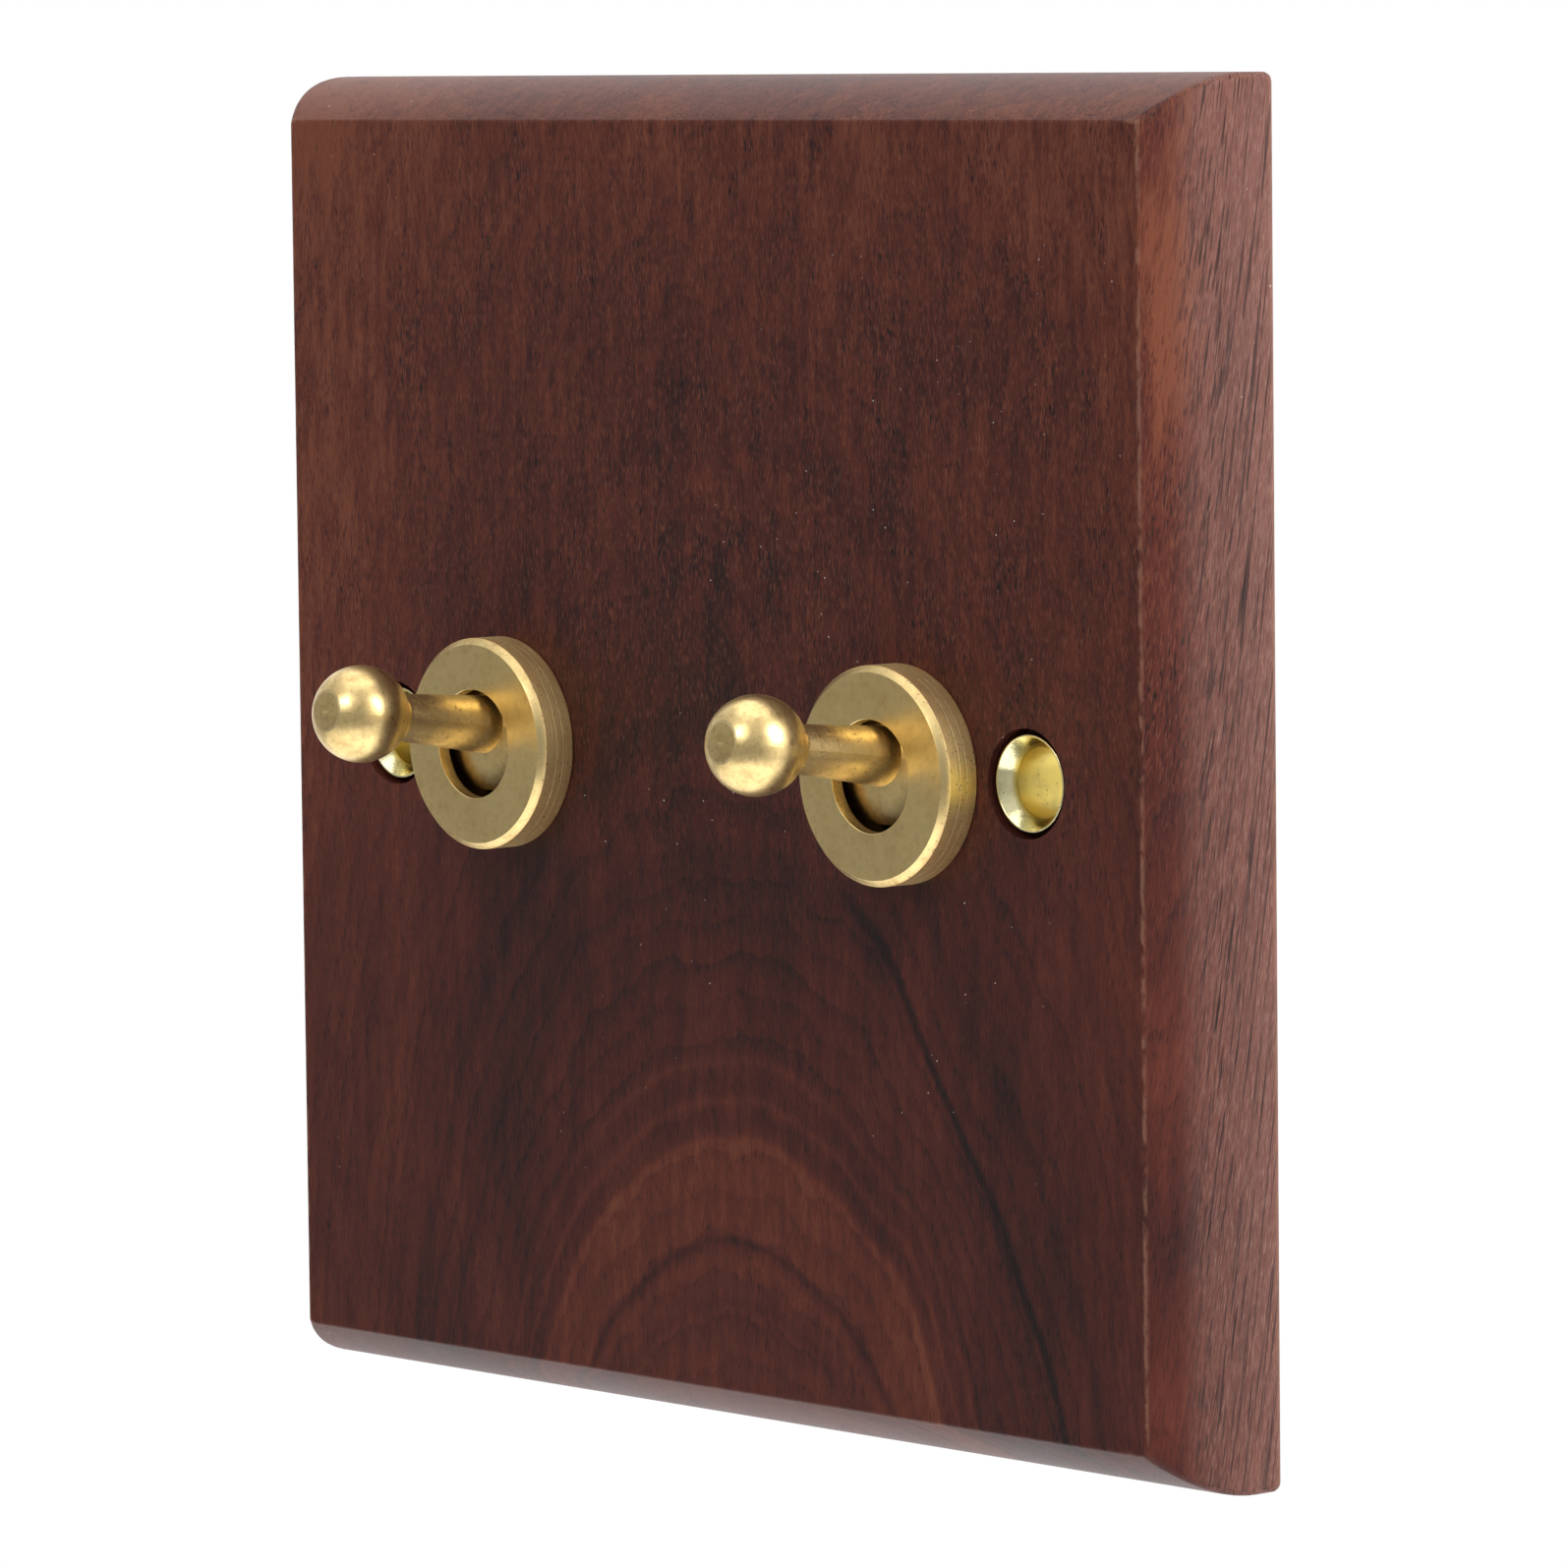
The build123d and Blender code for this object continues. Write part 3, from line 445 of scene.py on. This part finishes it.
# pitted and marked give the reach along the axis where the turning left pits or lines; the shade entries a
# reach of radius, and the depth below which it is painted shade down in the ring's hole; line and grooves
# the places of fine cut lines
leverBrass = {
    "colour": (0.80, 0.605, 0.275),
    "shade": (0.52, 0.365, 0.150),
    "roughness": 0.33,
    "dull": 0.03,
    "leaning": True,
    "pitted": (10.2, 16.6),
    "marked": (17.7, 18.4),
    "line": (21.5, 1.30),
    "grooves": [17.95, 18.30, 18.85],
    # painted shade down in the ring's hole: a reach of radius, and the depth below which it lies
    "holeShade": (2.6, 4.1),
    "holeShadeBelow": (10.6, 9.8),
    "stained": 0.42,
    "stainedFrom": (17, 18),
    "sideReflectionFrom": None,
}
ringBrass = {
    "colour": (0.78, 0.595, 0.270),
    "shade": (0.58, 0.415, 0.175),
    "roughness": 0.33,
    "dull": 0.22,
    "leaning": False,
    "pitted": (8.0, 11.1),
    "marked": (8.0, 11.2),
    "line": (11.6, 0.0),
    "grooves": [9.9, 10.45],
    "holeShade": None,
    "stained": 0.0,
    "sideReflectionFrom": 6.8,
}
# waves per millimetre (and per radian round the axis), detail, roughness
brassGrain = {
    "turning": ((7, 7, 0.5), 4.0, 0.7),
    "scratches": ((16, 16, 2.2), 2.0, 0.6),
    "patina": (0.50, 4.0, 0.6),
    "mottle": (1.7, 3.0, 0.6),
    "knobStain": (2.6, 4.0, 0.65),
}
# cells per millimetre, and the size of the speck in its cell
brassPits = (4.2, 0.30)
brassGlints = (1.9, 0.055)
brassRelief = 0.00001
lineHalfWidth = 0.07
brassTints = {
    # the first two are painted reflections on the ring's side
    "reflectedGold": (0.98, 0.72, 0.20),
    "reflectedBrown": (0.66, 0.40, 0.18),
    "stain": (0.46, 0.30, 0.125),
    "pitAndShade": (0.12, 0.075, 0.035),
    "bright": (0.96, 0.84, 0.52),
}
# where the painted reflections lie on the ring's side: middle and reach, in radians about its axis
sideReflectionAngles = {"reflectedGold": (-0.05, 0.34), "below": (-0.75, 0.75), "above": (1.0, 0.8)}


# painted reflection on the right ring's side: a golden band at mid height facing the right lamp, and painted
# browner above and below, where it reflects the dark wood
def paintedSideReflection(colour, b, x, radius, angle, marks, scratches, patina):
    sideBand = marks * radius.rise(b["sideReflectionFrom"] - 0.2, b["sideReflectionFrom"])
    reflectedGold = sideBand * angle.near(*sideReflectionAngles["reflectedGold"]) * (0.5 + scratches) * x.rise(-1, 1)
    colour = blended(reflectedGold.clamped(), colour, brassTints["reflectedGold"])
    below = angle.near(*sideReflectionAngles["below"]) * 0.40
    above = angle.near(*sideReflectionAngles["above"]) * 0.15
    reflectedBrown = sideBand * (0.30 + below + above) * (0.6 + patina) * (1 - reflectedGold).clamped()
    return blended(reflectedBrown.clamped(), colour, brassTints["reflectedBrown"])


def makeTurnedBrass(name, b):
    material, start, place = newFinish(name)
    p = inMillimetres(place)
    x, y, z = parted(p)
    along, radius, angle = turnedSpace(start, x, y, z, b["leaning"])
    aboutAxis = joined(along, radius, angle)
    turning = grained(aboutAxis, brassGrain["turning"]) - 0.5
    scratches = grained(aboutAxis, brassGrain["scratches"])
    patina = noise(p, *brassGrain["patina"])
    mottle = noise(p, *brassGrain["mottle"])
    pittedLow, pittedHigh = b["pitted"]
    markedLow, markedHigh = b["marked"]
    pittedMask = along.rise(pittedLow - 0.5, pittedLow) * along.rise(pittedHigh + 0.8, pittedHigh)
    marks = along.rise(markedLow - 0.2, markedLow) * along.rise(markedHigh + 0.3, markedHigh)
    pits = specks(p, *brassPits) * mottle.rise(0.44, 0.56) * (0.03 + 0.97 * pittedMask)
    # scratches, which are real, painted pale as highlights where the turning marked the brass
    bright = scratches.rise(0.62, 0.70) * marks
    lineAlong, lineRadius = b["line"]
    line = radius.near(lineRadius, lineHalfWidth) * along.rise(lineAlong, lineAlong + 0.2)
    for groove in b["grooves"]:
        line = line + along.near(groove, lineHalfWidth) * radius.rise(1.9, 2.1) * 0.6
    glints = specks(p, *brassGlints)

    stain = patina.rise(0.40, 0.72) * 0.50 + mottle.rise(0.45, 0.72) * 0.50
    stain = stain + turning * (0.25 + 0.9 * marks)
    colour = blended(stain.clamped(), b["colour"], b["shade"])
    if b["sideReflectionFrom"]:
        colour = paintedSideReflection(colour, b, x, radius, angle, marks, scratches, patina)
    if b["stained"]:
        onKnob = along.rise(*b["stainedFrom"]) * b["stained"]
        knobStain = noise(p, *brassGrain["knobStain"]).rise(0.50, 0.66) * onKnob
        colour = blended(knobStain.clamped(), colour, brassTints["stain"])
    # pits darken the brass, and painted shade darkens the lever down in the ring's hole
    dark = pits * 0.7
    if b["holeShade"]:
        inward = along.rise(*b["holeShadeBelow"])
        dark = dark + radius.rise(*b["holeShade"]) * inward * (mottle * 0.4 + 0.75)
    colour = blended(dark.clamped(), colour, brassTints["pitAndShade"])
    # painted highlights: real scratches and fine cut lines painted pale where they catch the light, and
    # painted glints
    shining = bright * 0.8 + line * 0.5 + glints * 0.7
    colour = blended(shining.clamped(), colour, brassTints["bright"])

    rough = b["roughness"] + marks * b["dull"] + turning * 0.16 + (patina - 0.5) * 0.20
    rough = rough + (mottle - 0.5) * 0.20 + pits * 0.2
    height = turning * (0.30 + 0.6 * marks) + mottle * 0.25 + scratches * 0.15 - pits * 0.9 - line * 2.5
    normal = bumped(height, brassRelief, 0.6)
    closeFinish(start, {"Base Color": colour, "Roughness": rough, "Metallic": 1.0, "Normal": normal})
    return material


# screw cups: pale on the funnel, richer and darker down the bore, as painted shade in the hole
cupBrass = {
    "centreX": 30.15,
    "funnel": (0.86, 0.79, 0.46),
    "bore": (0.60, 0.46, 0.115),
    "dark": (0.30, 0.23, 0.10),
    "pitted": (0.07, 0.05, 0.02),
    "boreEdge": (2.45, 2.24),
    "roughness": 0.17,
    "patches": (0.9, 4.0, 0.6),
    "grain": (6.0, 3.0, 0.6),
    "pits": (2.6, 0.17),
    "reliefDepth": 0.00002,
}


def makeCupBrass(b):
    material, start, place = newFinish("cupBrassFinish")
    p = inMillimetres(place)
    x, y, z = parted(p)
    side = start.math("ABSOLUTE", x) - b["centreX"]
    radius = start.math("SQRT", side * side + z * z)
    patches = noise(p, *b["patches"])
    grain = noise(p, *b["grain"])
    pits = specks(p, *b["pits"]) * patches.rise(0.42, 0.54)
    # painted shade: darker down the bore
    inBore = radius.rise(*b["boreEdge"])
    colour = blended(inBore, b["funnel"], b["bore"])
    colour = blended((patches.rise(0.48, 0.78) * 0.45).clamped(), colour, b["dark"])
    colour = blended((pits * 0.7).clamped(), colour, b["pitted"])
    rough = b["roughness"] + (patches - 0.5) * 0.16 + (grain - 0.5) * 0.10 + inBore * 0.16
    normal = bumped(grain * 0.5 + patches * 1.5 - pits, b["reliefDepth"], 0.5)
    closeFinish(start, {"Base Color": colour, "Roughness": rough, "Metallic": 1.0, "Normal": normal})
    return material


# each plain metal: colour, shade of its patches, roughness, waves of grain per millimetre,
# depth of the grain in metres
metals = {
    # the bush's dark colour is partly a dark patina and partly painted shade, for the gap behind the ring's
    # lip
    "bush": ("bushBrassFinish", (0.36, 0.24, 0.10), (0.20, 0.13, 0.06), 0.50, 3.0, 0.00002),
    "brass": ("plainBrassFinish", (0.85, 0.66, 0.30), (0.74, 0.54, 0.22), 0.28, 3.0, 0.00001),
    "zinc": ("zincFinish", (0.60, 0.61, 0.63), (0.50, 0.50, 0.48), 0.34, 2.0, 0.00001),
    "spring": ("springSteelFinish", (0.42, 0.42, 0.43), (0.34, 0.34, 0.36), 0.30, 3.0, 0.000005),
    "silver": ("silverFinish", (0.82, 0.81, 0.78), (0.70, 0.68, 0.63), 0.24, 3.0, 0.000005),
}
metalPatches = (0.35, 4.0, 0.6)
metalPits = (1.9, 0.13)
metalPitted = (0.08, 0.06, 0.03)


def makeMetal(name, colour, shade, roughness, grainWaves, grainDepth):
    material, start, place = newFinish(name)
    p = inMillimetres(place)
    patches = noise(p, *metalPatches)
    grain = noise(p, grainWaves, 3.0, 0.6)
    pits = specks(p, *metalPits) * patches.rise(0.44, 0.56)
    colour = blended(patches.rise(0.3, 0.75).clamped(), colour, shade)
    colour = blended(pits * 0.5, colour, metalPitted)
    rough = roughness + (patches - 0.5) * 0.16 + (grain - 0.5) * 0.12
    normal = bumped(grain - pits, grainDepth, 0.5)
    closeFinish(start, {"Base Color": colour, "Roughness": rough, "Metallic": 1.0, "Normal": normal})
    return material


moulding = {
    "dark": (0.020, 0.016, 0.015),
    "pale": (0.034, 0.026, 0.023),
    "roughness": 0.42,
    "flow": ((0.2, 0.2, 0.6), 4.0, 0.6),
    "grain": (7.0, 2.0, 0.5),
    "reliefDepth": 0.00002,
}


def makeMoulding(b):
    material, start, place = newFinish("mouldingFinish")
    p = inMillimetres(place)
    flow = grained(p, b["flow"])
    grain = noise(p, *b["grain"])
    colour = blended(flow.rise(0.35, 0.7), b["dark"], b["pale"])
    rough = b["roughness"] + (flow - 0.5) * 0.15 + (grain - 0.5) * 0.1
    normal = bumped(grain, b["reliefDepth"], 0.4)
    closeFinish(start, {"Base Color": colour, "Roughness": rough, "Normal": normal})
    return material


finishes = {
    "walnut": makeWalnut(walnut),
    "ring": makeTurnedBrass("ringBrassFinish", ringBrass),
    "lever": makeTurnedBrass("leverBrassFinish", leverBrass),
    "cup": makeCupBrass(cupBrass),
    **{key: makeMetal(*metal) for key, metal in metals.items()},
    "moulding": makeMoulding(moulding),
}
nodeFinish = {
    "wood_plate": "walnut", "dress_ring": "ring", "lever": "lever", "screw_cup": "cup",
    "bush": "bush", "back_plate": "zinc", "plate_screws": "zinc", "lock_washer": "zinc",
    "back_nut": "zinc", "pivot_pin": "zinc", "switch_frame": "zinc", "terminal_screws": "zinc",
    "earth_washer": "brass", "earth_screw": "brass", "plunger": "brass", "plunger_spring": "spring",
    "switch_base": "moulding", "common_terminal": "brass", "upper_terminal": "brass",
    "lower_terminal": "brass", "seesaw": "brass", "fixed_contacts": "silver", "moving_contacts": "silver",
}
for name, node in nodes.items():
    family = name.removesuffix("_left").removesuffix("_right")
    finish = finishes[nodeFinish[family]]
    for holder in node.material_slots:
        holder.material = finish
print("switch: finishes on the nodes")


# an empty Geometry Nodes tree with these inputs and one output
def newTree(name, inputs, output):
    tree = bpy.data.node_groups.new(name, "GeometryNodeTree")
    keys = {}
    for label, kind in inputs:
        keys[label] = tree.interface.new_socket(label, in_out="INPUT", socket_type=kind).identifier
    tree.interface.new_socket(output, in_out="OUTPUT", socket_type="NodeSocketGeometry")
    start = Signal(tree)
    given = {label: start.node("NodeGroupInput", output=k) for k, (label, kind) in enumerate(inputs)}
    return tree, keys, start, given


# radius of the lathe's rail in metres: the profile is set back by as much
latheOffset = 0.01


# a lathe that turns a profile drawn as (radius, -height)
def makeLatheTree():
    tree, keys, start, given = newTree(
        "turningLathe",
        [("Profile", "NodeSocketGeometry"), ("Steps", "NodeSocketInt"), ("Finish", "NodeSocketMaterial")],
        "Turned",
    )
    rail = start.node(
        "GeometryNodeCurvePrimitiveCircle", {}, {"Resolution": given["Steps"], "Radius": latheOffset}
    )
    line = start.node("GeometryNodeMeshToCurve", {}, {"Mesh": given["Profile"]})
    line = start.node("GeometryNodeTransform", {}, {"Geometry": line, "Translation": (-latheOffset, 0, 0)})
    shell = start.node("GeometryNodeCurveToMesh", {}, {"Curve": rail, "Profile Curve": line})
    shell = start.node("GeometryNodeMergeByDistance", {}, {"Geometry": shell, "Distance": 1e-7})
    shell = start.node("GeometryNodeRealizeInstances", {}, {"Geometry": shell})
    shell = start.node("GeometryNodeSetMaterial", {}, {"Geometry": shell, "Material": given["Finish"]})
    start.node("NodeGroupOutput", {}, {0: shell})
    return tree, keys


# screws on their seats: a turned blank, its slot cut at an angle of its own
def makeScrewTree():
    tree, keys, start, given = newTree(
        "slottedScrews",
        [
            ("Seats", "NodeSocketGeometry"),
            ("Blank", "NodeSocketObject"),
            ("Slot Length", "NodeSocketFloat"),
            ("Slot Width", "NodeSocketFloat"),
            ("Slot Depth", "NodeSocketFloat"),
            ("Head Height", "NodeSocketFloat"),
            ("Seed", "NodeSocketInt"),
            ("Finish", "NodeSocketMaterial"),
        ],
        "Screws",
    )
    blank = start.node("GeometryNodeObjectInfo", {}, {"Object": given["Blank"]}, "Geometry")
    size = joined(given["Slot Length"], given["Slot Width"], given["Slot Depth"] * 2)
    cutter = start.node("GeometryNodeMeshCube", {}, {"Size": size})
    lift = joined(0.0, 0.0, given["Head Height"])
    cutter = start.node("GeometryNodeTransform", {}, {"Geometry": cutter, "Translation": lift})
    cut = start.node(
        "GeometryNodeMeshBoolean", {"operation": "DIFFERENCE", "solver": "EXACT"}, {0: blank, 1: cutter}
    )
    turn = start.node(
        "FunctionNodeRandomValue",
        {"data_type": "FLOAT"},
        {"Min": 0.0, "Max": pi, "ID": start.node("GeometryNodeInputIndex"), "Seed": given["Seed"]},
        "Value",
    )
    placed = start.node(
        "GeometryNodeInstanceOnPoints",
        {},
        {"Points": given["Seats"], "Instance": cut, "Rotation": joined(0.0, 0.0, turn)},
    )
    placed = start.node("GeometryNodeRealizeInstances", {}, {"Geometry": placed})
    placed = start.node("GeometryNodeSetMaterial", {}, {"Geometry": placed, "Material": given["Finish"]})
    start.node("NodeGroupOutput", {}, {0: placed})
    return tree, keys


# the plain mesh that a tree makes from these points and edges
def grown(name, tree, keys, points, edges, values):
    mesh = bpy.data.meshes.new(name + "Seed")
    mesh.from_pydata(points, edges, [])
    maker = bpy.data.objects.new(name + "Seed", mesh)
    bpy.context.scene.collection.objects.link(maker)
    modifier = maker.modifiers.new("maker", "NODES")
    modifier.node_group = tree
    for label, value in values.items():
        modifier[keys[label]] = value
    made = bpy.data.meshes.new_from_object(maker.evaluated_get(bpy.context.evaluated_depsgraph_get()))
    bpy.data.objects.remove(maker)
    made.name = name
    return made


def recalculated(mesh):
    shape = bmesh.new()
    shape.from_mesh(mesh)
    bmesh.ops.remove_doubles(shape, verts=shape.verts, dist=1e-7)
    bmesh.ops.recalc_face_normals(shape, faces=shape.faces)
    shape.to_mesh(mesh)
    shape.free()
    return mesh


# a node's mesh to build on, shaded by its own edges and not by the imported normals
def copied(node, name):
    mesh = nodes[node].data.copy()
    mesh.name = name
    if "custom_normal" in mesh.attributes:
        mesh.attributes.remove(mesh.attributes["custom_normal"])
    return mesh


# a piece with faces smooth up to this angle between them, in degrees
def finished(name, mesh, sharp):
    mesh.polygons.foreach_set("use_smooth", [True] * len(mesh.polygons))
    mesh.set_sharp_from_angle(angle=radians(sharp))
    piece = bpy.data.objects.new(name, mesh)
    bpy.context.scene.collection.objects.link(piece)
    return piece


# rounds the corners of a profile given as (radius, height, corner radius) in millimetres
def rounded(corners, closed=True, steps=5):
    points = []
    count = len(corners)
    for k, (r, h, corner) in enumerate(corners):
        here = Vector((r, h))
        ends = not closed and k in (0, count - 1)
        if not corner or ends:
            points.append(here)
            continue
        back = (Vector(corners[k - 1][:2]) - here).normalized()
        ahead = (Vector(corners[(k + 1) % count][:2]) - here).normalized()
        half = back.angle(ahead) / 2
        reach = corner / tan(half)
        centre = here + (back + ahead).normalized() * (corner / sin(half))
        first = here + back * reach - centre
        last = here + ahead * reach - centre
        sweep = first.angle_signed(last)
        for step in range(steps + 1):
            points.append(centre + Matrix.Rotation(-sweep * step / steps, 2) @ first)
    return points


latheTree, latheKeys = makeLatheTree()
screwTree, screwKeys = makeScrewTree()


def turnedMesh(name, corners, steps, finish, closed=True):
    points = rounded(corners, closed)
    count = len(points)
    edges = [(k, k + 1) for k in range(count - 1)] + ([(count - 1, 0)] if closed else [])
    drawn = [(point.x * mm, -point.y * mm, 0) for point in points]
    mesh = grown(name, latheTree, latheKeys, drawn, edges, {"Steps": steps, "Finish": finish})
    return recalculated(mesh)


# stands a turned mesh on the wall: its axis towards the room (-Y) at this x
def standing(mesh, x):
    mesh.transform(Matrix.Translation((x * mm, 0, 0)) @ Matrix.Rotation(radians(90), 4, "X"))
    return mesh


# sections give each corner as (radius, height from the wall, corner radius) in millimetres;
# the ring's starts at the lip's front edge and goes outwards
dressRing = {
    "steps": 192,
    "sharp": 38,
    "centres": {"left": -19.0, "right": 19.0},
    "section": [
        (3.50, 11.70, 0.09), (6.44, 11.70, 0.05), (6.85, 11.28, 0.07), (6.85, 9.02, 0.10),
        (6.1524, 9.0, 0), (6.1524, 10.83, 0), (3.50, 10.83, 0.05),
    ],
}
# the cup's goes from the rim down the tube, up the bore and out along the funnel
screwCup = {
    "steps": 128,
    "sharp": 38,
    "centres": {"left": -30.15, "right": 30.15},
    "section": [
        (3.00, 8.70, 0.05), (3.00, 7.30, 0), (2.60, 7.30, 0), (2.60, 3.00, 0.05),
        (2.20, 3.00, 0.05), (2.20, 7.62, 0.12), (2.88, 8.70, 0.06),
    ],
}


def addTurned(kind, spec, finish):
    for side, x in spec["centres"].items():
        name = f"turned_{kind}_{side}"
        mesh = standing(turnedMesh(name, spec["section"], spec["steps"], finish), x)
        piece = finished(name, mesh, spec["sharp"])
        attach(piece, "housing")
        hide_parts(f"{kind}_{side}")


addTurned("dress_ring", dressRing, finishes["ring"])
addTurned("screw_cup", screwCup, finishes["cup"])
print("switch: rings and screw cups turned")

# every screw: a turned pan-head blank, set on seats whose heads face the wall box (+Y);
# head and shank radii and lengths in millimetres, the slot as width and depth
plateScrew = {
    "head": 2.1, "headHeight": 1.3, "shank": 1.05, "length": 4.2, "slot": (0.60, 0.62),
    "finish": "zinc", "slotName": "plated_steel",
}
earthScrew = {
    "head": 3.2, "headHeight": 2.0, "shank": 1.75, "length": 2.1, "slot": (0.85, 0.95),
    "finish": "brass", "slotName": "bright_brass",
}
terminalScrew = {
    "head": 2.5, "headHeight": 1.8, "shank": 1.45, "length": 3.6, "slot": (0.75, 0.85),
    "finish": "zinc", "slotName": "plated_steel",
}
screwSteps = 40
screwSharp = 35
screwChamfer = 0.35
terminalSeats = [(16.3693, 10.0217), (16.5693, 3.15), (16.3693, -10.0217)]
screws = {
    "plate_screws": {
        **plateScrew,
        "seed": 3,
        "seats": [(-28, -3.3, -25), (-28, -3.3, 25), (28, -3.3, -25), (28, -3.3, 25)],
    },
    "earth_screw": {**earthScrew, "seed": 8, "seats": [(0, -2.4, -21)]},
    "terminal_screws_left": {
        **terminalScrew,
        "seed": 5,
        "seats": [(-19, y, z) for y, z in terminalSeats],
    },
    "terminal_screws_right": {
        **terminalScrew,
        "seed": 11,
        "seats": [(19, y, z) for y, z in terminalSeats],
    },
}


def addScrews(node, spec):
    head, high, shank, length = (spec[k] for k in ("head", "headHeight", "shank", "length"))
    tip = screwChamfer
    outline = [
        (0, high, 0), (head * 0.62, high, head * 0.5), (head, high * 0.45, high * 0.25), (head, 0, 0.12),
        (shank, 0, 0), (shank, tip - length, 0), (shank - tip, -length, 0), (0, -length, 0),
    ]
    finish = finishes[spec["finish"]]
    blankMesh = turnedMesh(node + "Blank", outline, screwSteps, finish, closed=False)
    blank = bpy.data.objects.new(node + "Blank", blankMesh)
    bpy.context.scene.collection.objects.link(blank)
    width, depth = spec["slot"]
    seats = [(x * mm, -z * mm, y * mm) for x, y, z in spec["seats"]]
    values = {
        "Blank": blank,
        "Slot Length": head * 2.2 * mm,
        "Slot Width": width * mm,
        "Slot Depth": depth * mm,
        "Head Height": high * mm,
        "Seed": spec["seed"],
        "Finish": finish,
    }
    mesh = grown("slotted_" + node, screwTree, screwKeys, seats, [], values)
    bpy.data.objects.remove(blank)
    # the seats were laid flat with the heads up: the heads now turn to the wall box
    mesh.transform(Matrix.Rotation(radians(-90), 4, "X"))
    piece = finished("slotted_" + node, recalculated(mesh), screwSharp)
    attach(piece, "housing")
    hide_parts(node)


for node, spec in screws.items():
    addScrews(node, spec)
print("switch: screws set on their seats")

# the moulded bases: the ribs between the terminals stop short of the moulding's sides
mouldedBase = {
    "centres": {"left": -19.0, "right": 19.0},
    "ribsFrom": 15.8,
    "ribShare": 0.68,
    "sharp": 30,
}


def addMouldedBases(spec):
    for side, centre in spec["centres"].items():
        name = f"moulded_base_{side}"
        mesh = copied(f"switch_base_{side}", name)
        for vertex in mesh.vertices:
            if vertex.co.y > spec["ribsFrom"] * mm:
                vertex.co.x = centre * mm + (vertex.co.x - centre * mm) * spec["ribShare"]
        piece = finished(name, recalculated(mesh), spec["sharp"])
        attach(piece, "housing")
        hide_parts(f"switch_base_{side}")


addMouldedBases(mouldedBase)
print("switch: moulded bases trimmed")

# the springs, shaded afresh, move with the levers
plungerSpring = {
    "travel": 0.8,
    "sharp": 60,
    "bodies": {"left": "lever_left", "right": "lever_right"},
}


def addSprings(spec):
    for side, body in spec["bodies"].items():
        name = f"coiled_spring_{side}"
        mesh = copied(f"plunger_spring_{side}", name)
        piece = finished(name, recalculated(mesh), spec["sharp"])
        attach(piece, body)
        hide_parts(f"plunger_spring_{side}")
        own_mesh(piece)


addSprings(plungerSpring)
print("switch: springs coiled")

# a pale disc under the object, out of the photograph's frame
floor = {
    "radius": 0.50,
    "height": -0.30,
    "steps": 128,
    "colour": (0.92, 0.92, 0.92),
    "roughness": 0.9,
    "glow": 0.36,
}


def addFloor(f):
    shape = bmesh.new()
    bmesh.ops.create_circle(shape, cap_ends=True, segments=f["steps"], radius=f["radius"])
    bmesh.ops.translate(shape, verts=shape.verts, vec=(0, 0, f["height"]))
    mesh = bpy.data.meshes.new("paleFloor")
    shape.to_mesh(mesh)
    shape.free()
    disc = bpy.data.objects.new("paleFloor", mesh)
    bpy.context.scene.collection.objects.link(disc)
    material, start, place = newFinish("paleFloorFinish")
    closeFinish(
        start,
        {
            "Base Color": rgba(f["colour"]),
            "Roughness": f["roughness"],
            "Emission Color": rgba((1, 1, 1)),
            "Emission Strength": f["glow"],
        },
    )
    mesh.materials.append(material)


# each soft box: where it stands, its width and height, its strength in watts
softBoxes = {
    "overheadBox": ((-0.10, 0.10, 1.20), (1.3, 1.3), 7),
    "frontBox": ((0.15, -1.05, 0.66), (0.45, 0.45), 4.5),
    "rightBox": ((0.42, 0.045, 0.20), (0.20, 0.25), 1.6),
}

# the studio's walls, dim at the left front: the way each lies, from where to where it
# brightens, and its strength
walls = {
    "behind": ((-0.5, 0.7, 0.0), (0.1, 0.8), 0.75),
    "right": ((0.78, 0.62, 0.0), (0.35, 0.95), 0.85),
    "above": ((0.0, 0.0, 1.0), (0.1, 0.9), 0.40),
}
dimmest = 0.34


def addLights():
    for name, (place, size, power) in softBoxes.items():
        data = bpy.data.lights.new(name, "AREA")
        data.shape = "RECTANGLE"
        data.size, data.size_y = size
        data.energy = power
        light = bpy.data.objects.new(name, data)
        light.location = place
        light.visible_camera = False
        light.rotation_euler = (-Vector(place)).to_track_quat("-Z", "Y").to_euler()
        bpy.context.scene.collection.objects.link(light)
    world = bpy.data.worlds.new("studioAir")
    bpy.context.scene.world = world
    world.use_nodes = True
    tree = world.node_tree
    tree.nodes.clear()
    start = Signal(tree)
    x, y, z = parted(start.node("ShaderNodeTexCoord", output="Generated"))
    strength = dimmest
    for (alongX, alongY, alongZ), brightens, most in walls.values():
        facing = x * alongX + y * alongY + z * alongZ
        strength = strength + facing.rise(*brightens) * most
    # the camera sees plain white behind the object
    white = rgba((1, 1, 1))
    seen = start.node("ShaderNodeLightPath", output="Is Camera Ray")
    air = start.node("ShaderNodeBackground", {}, {"Color": white, "Strength": strength})
    paper = start.node("ShaderNodeBackground", {}, {"Color": white, "Strength": 1.0})
    mix = start.node("ShaderNodeMixShader", {}, {0: seen, 1: air, 2: paper})
    start.node("ShaderNodeOutputWorld", {}, {"Surface": mix})
    settings = bpy.context.scene.view_settings
    settings.view_transform = "Standard"
    settings.look = "None"


addFloor(floor)
addLights()
print("switch: stage and lights in place")
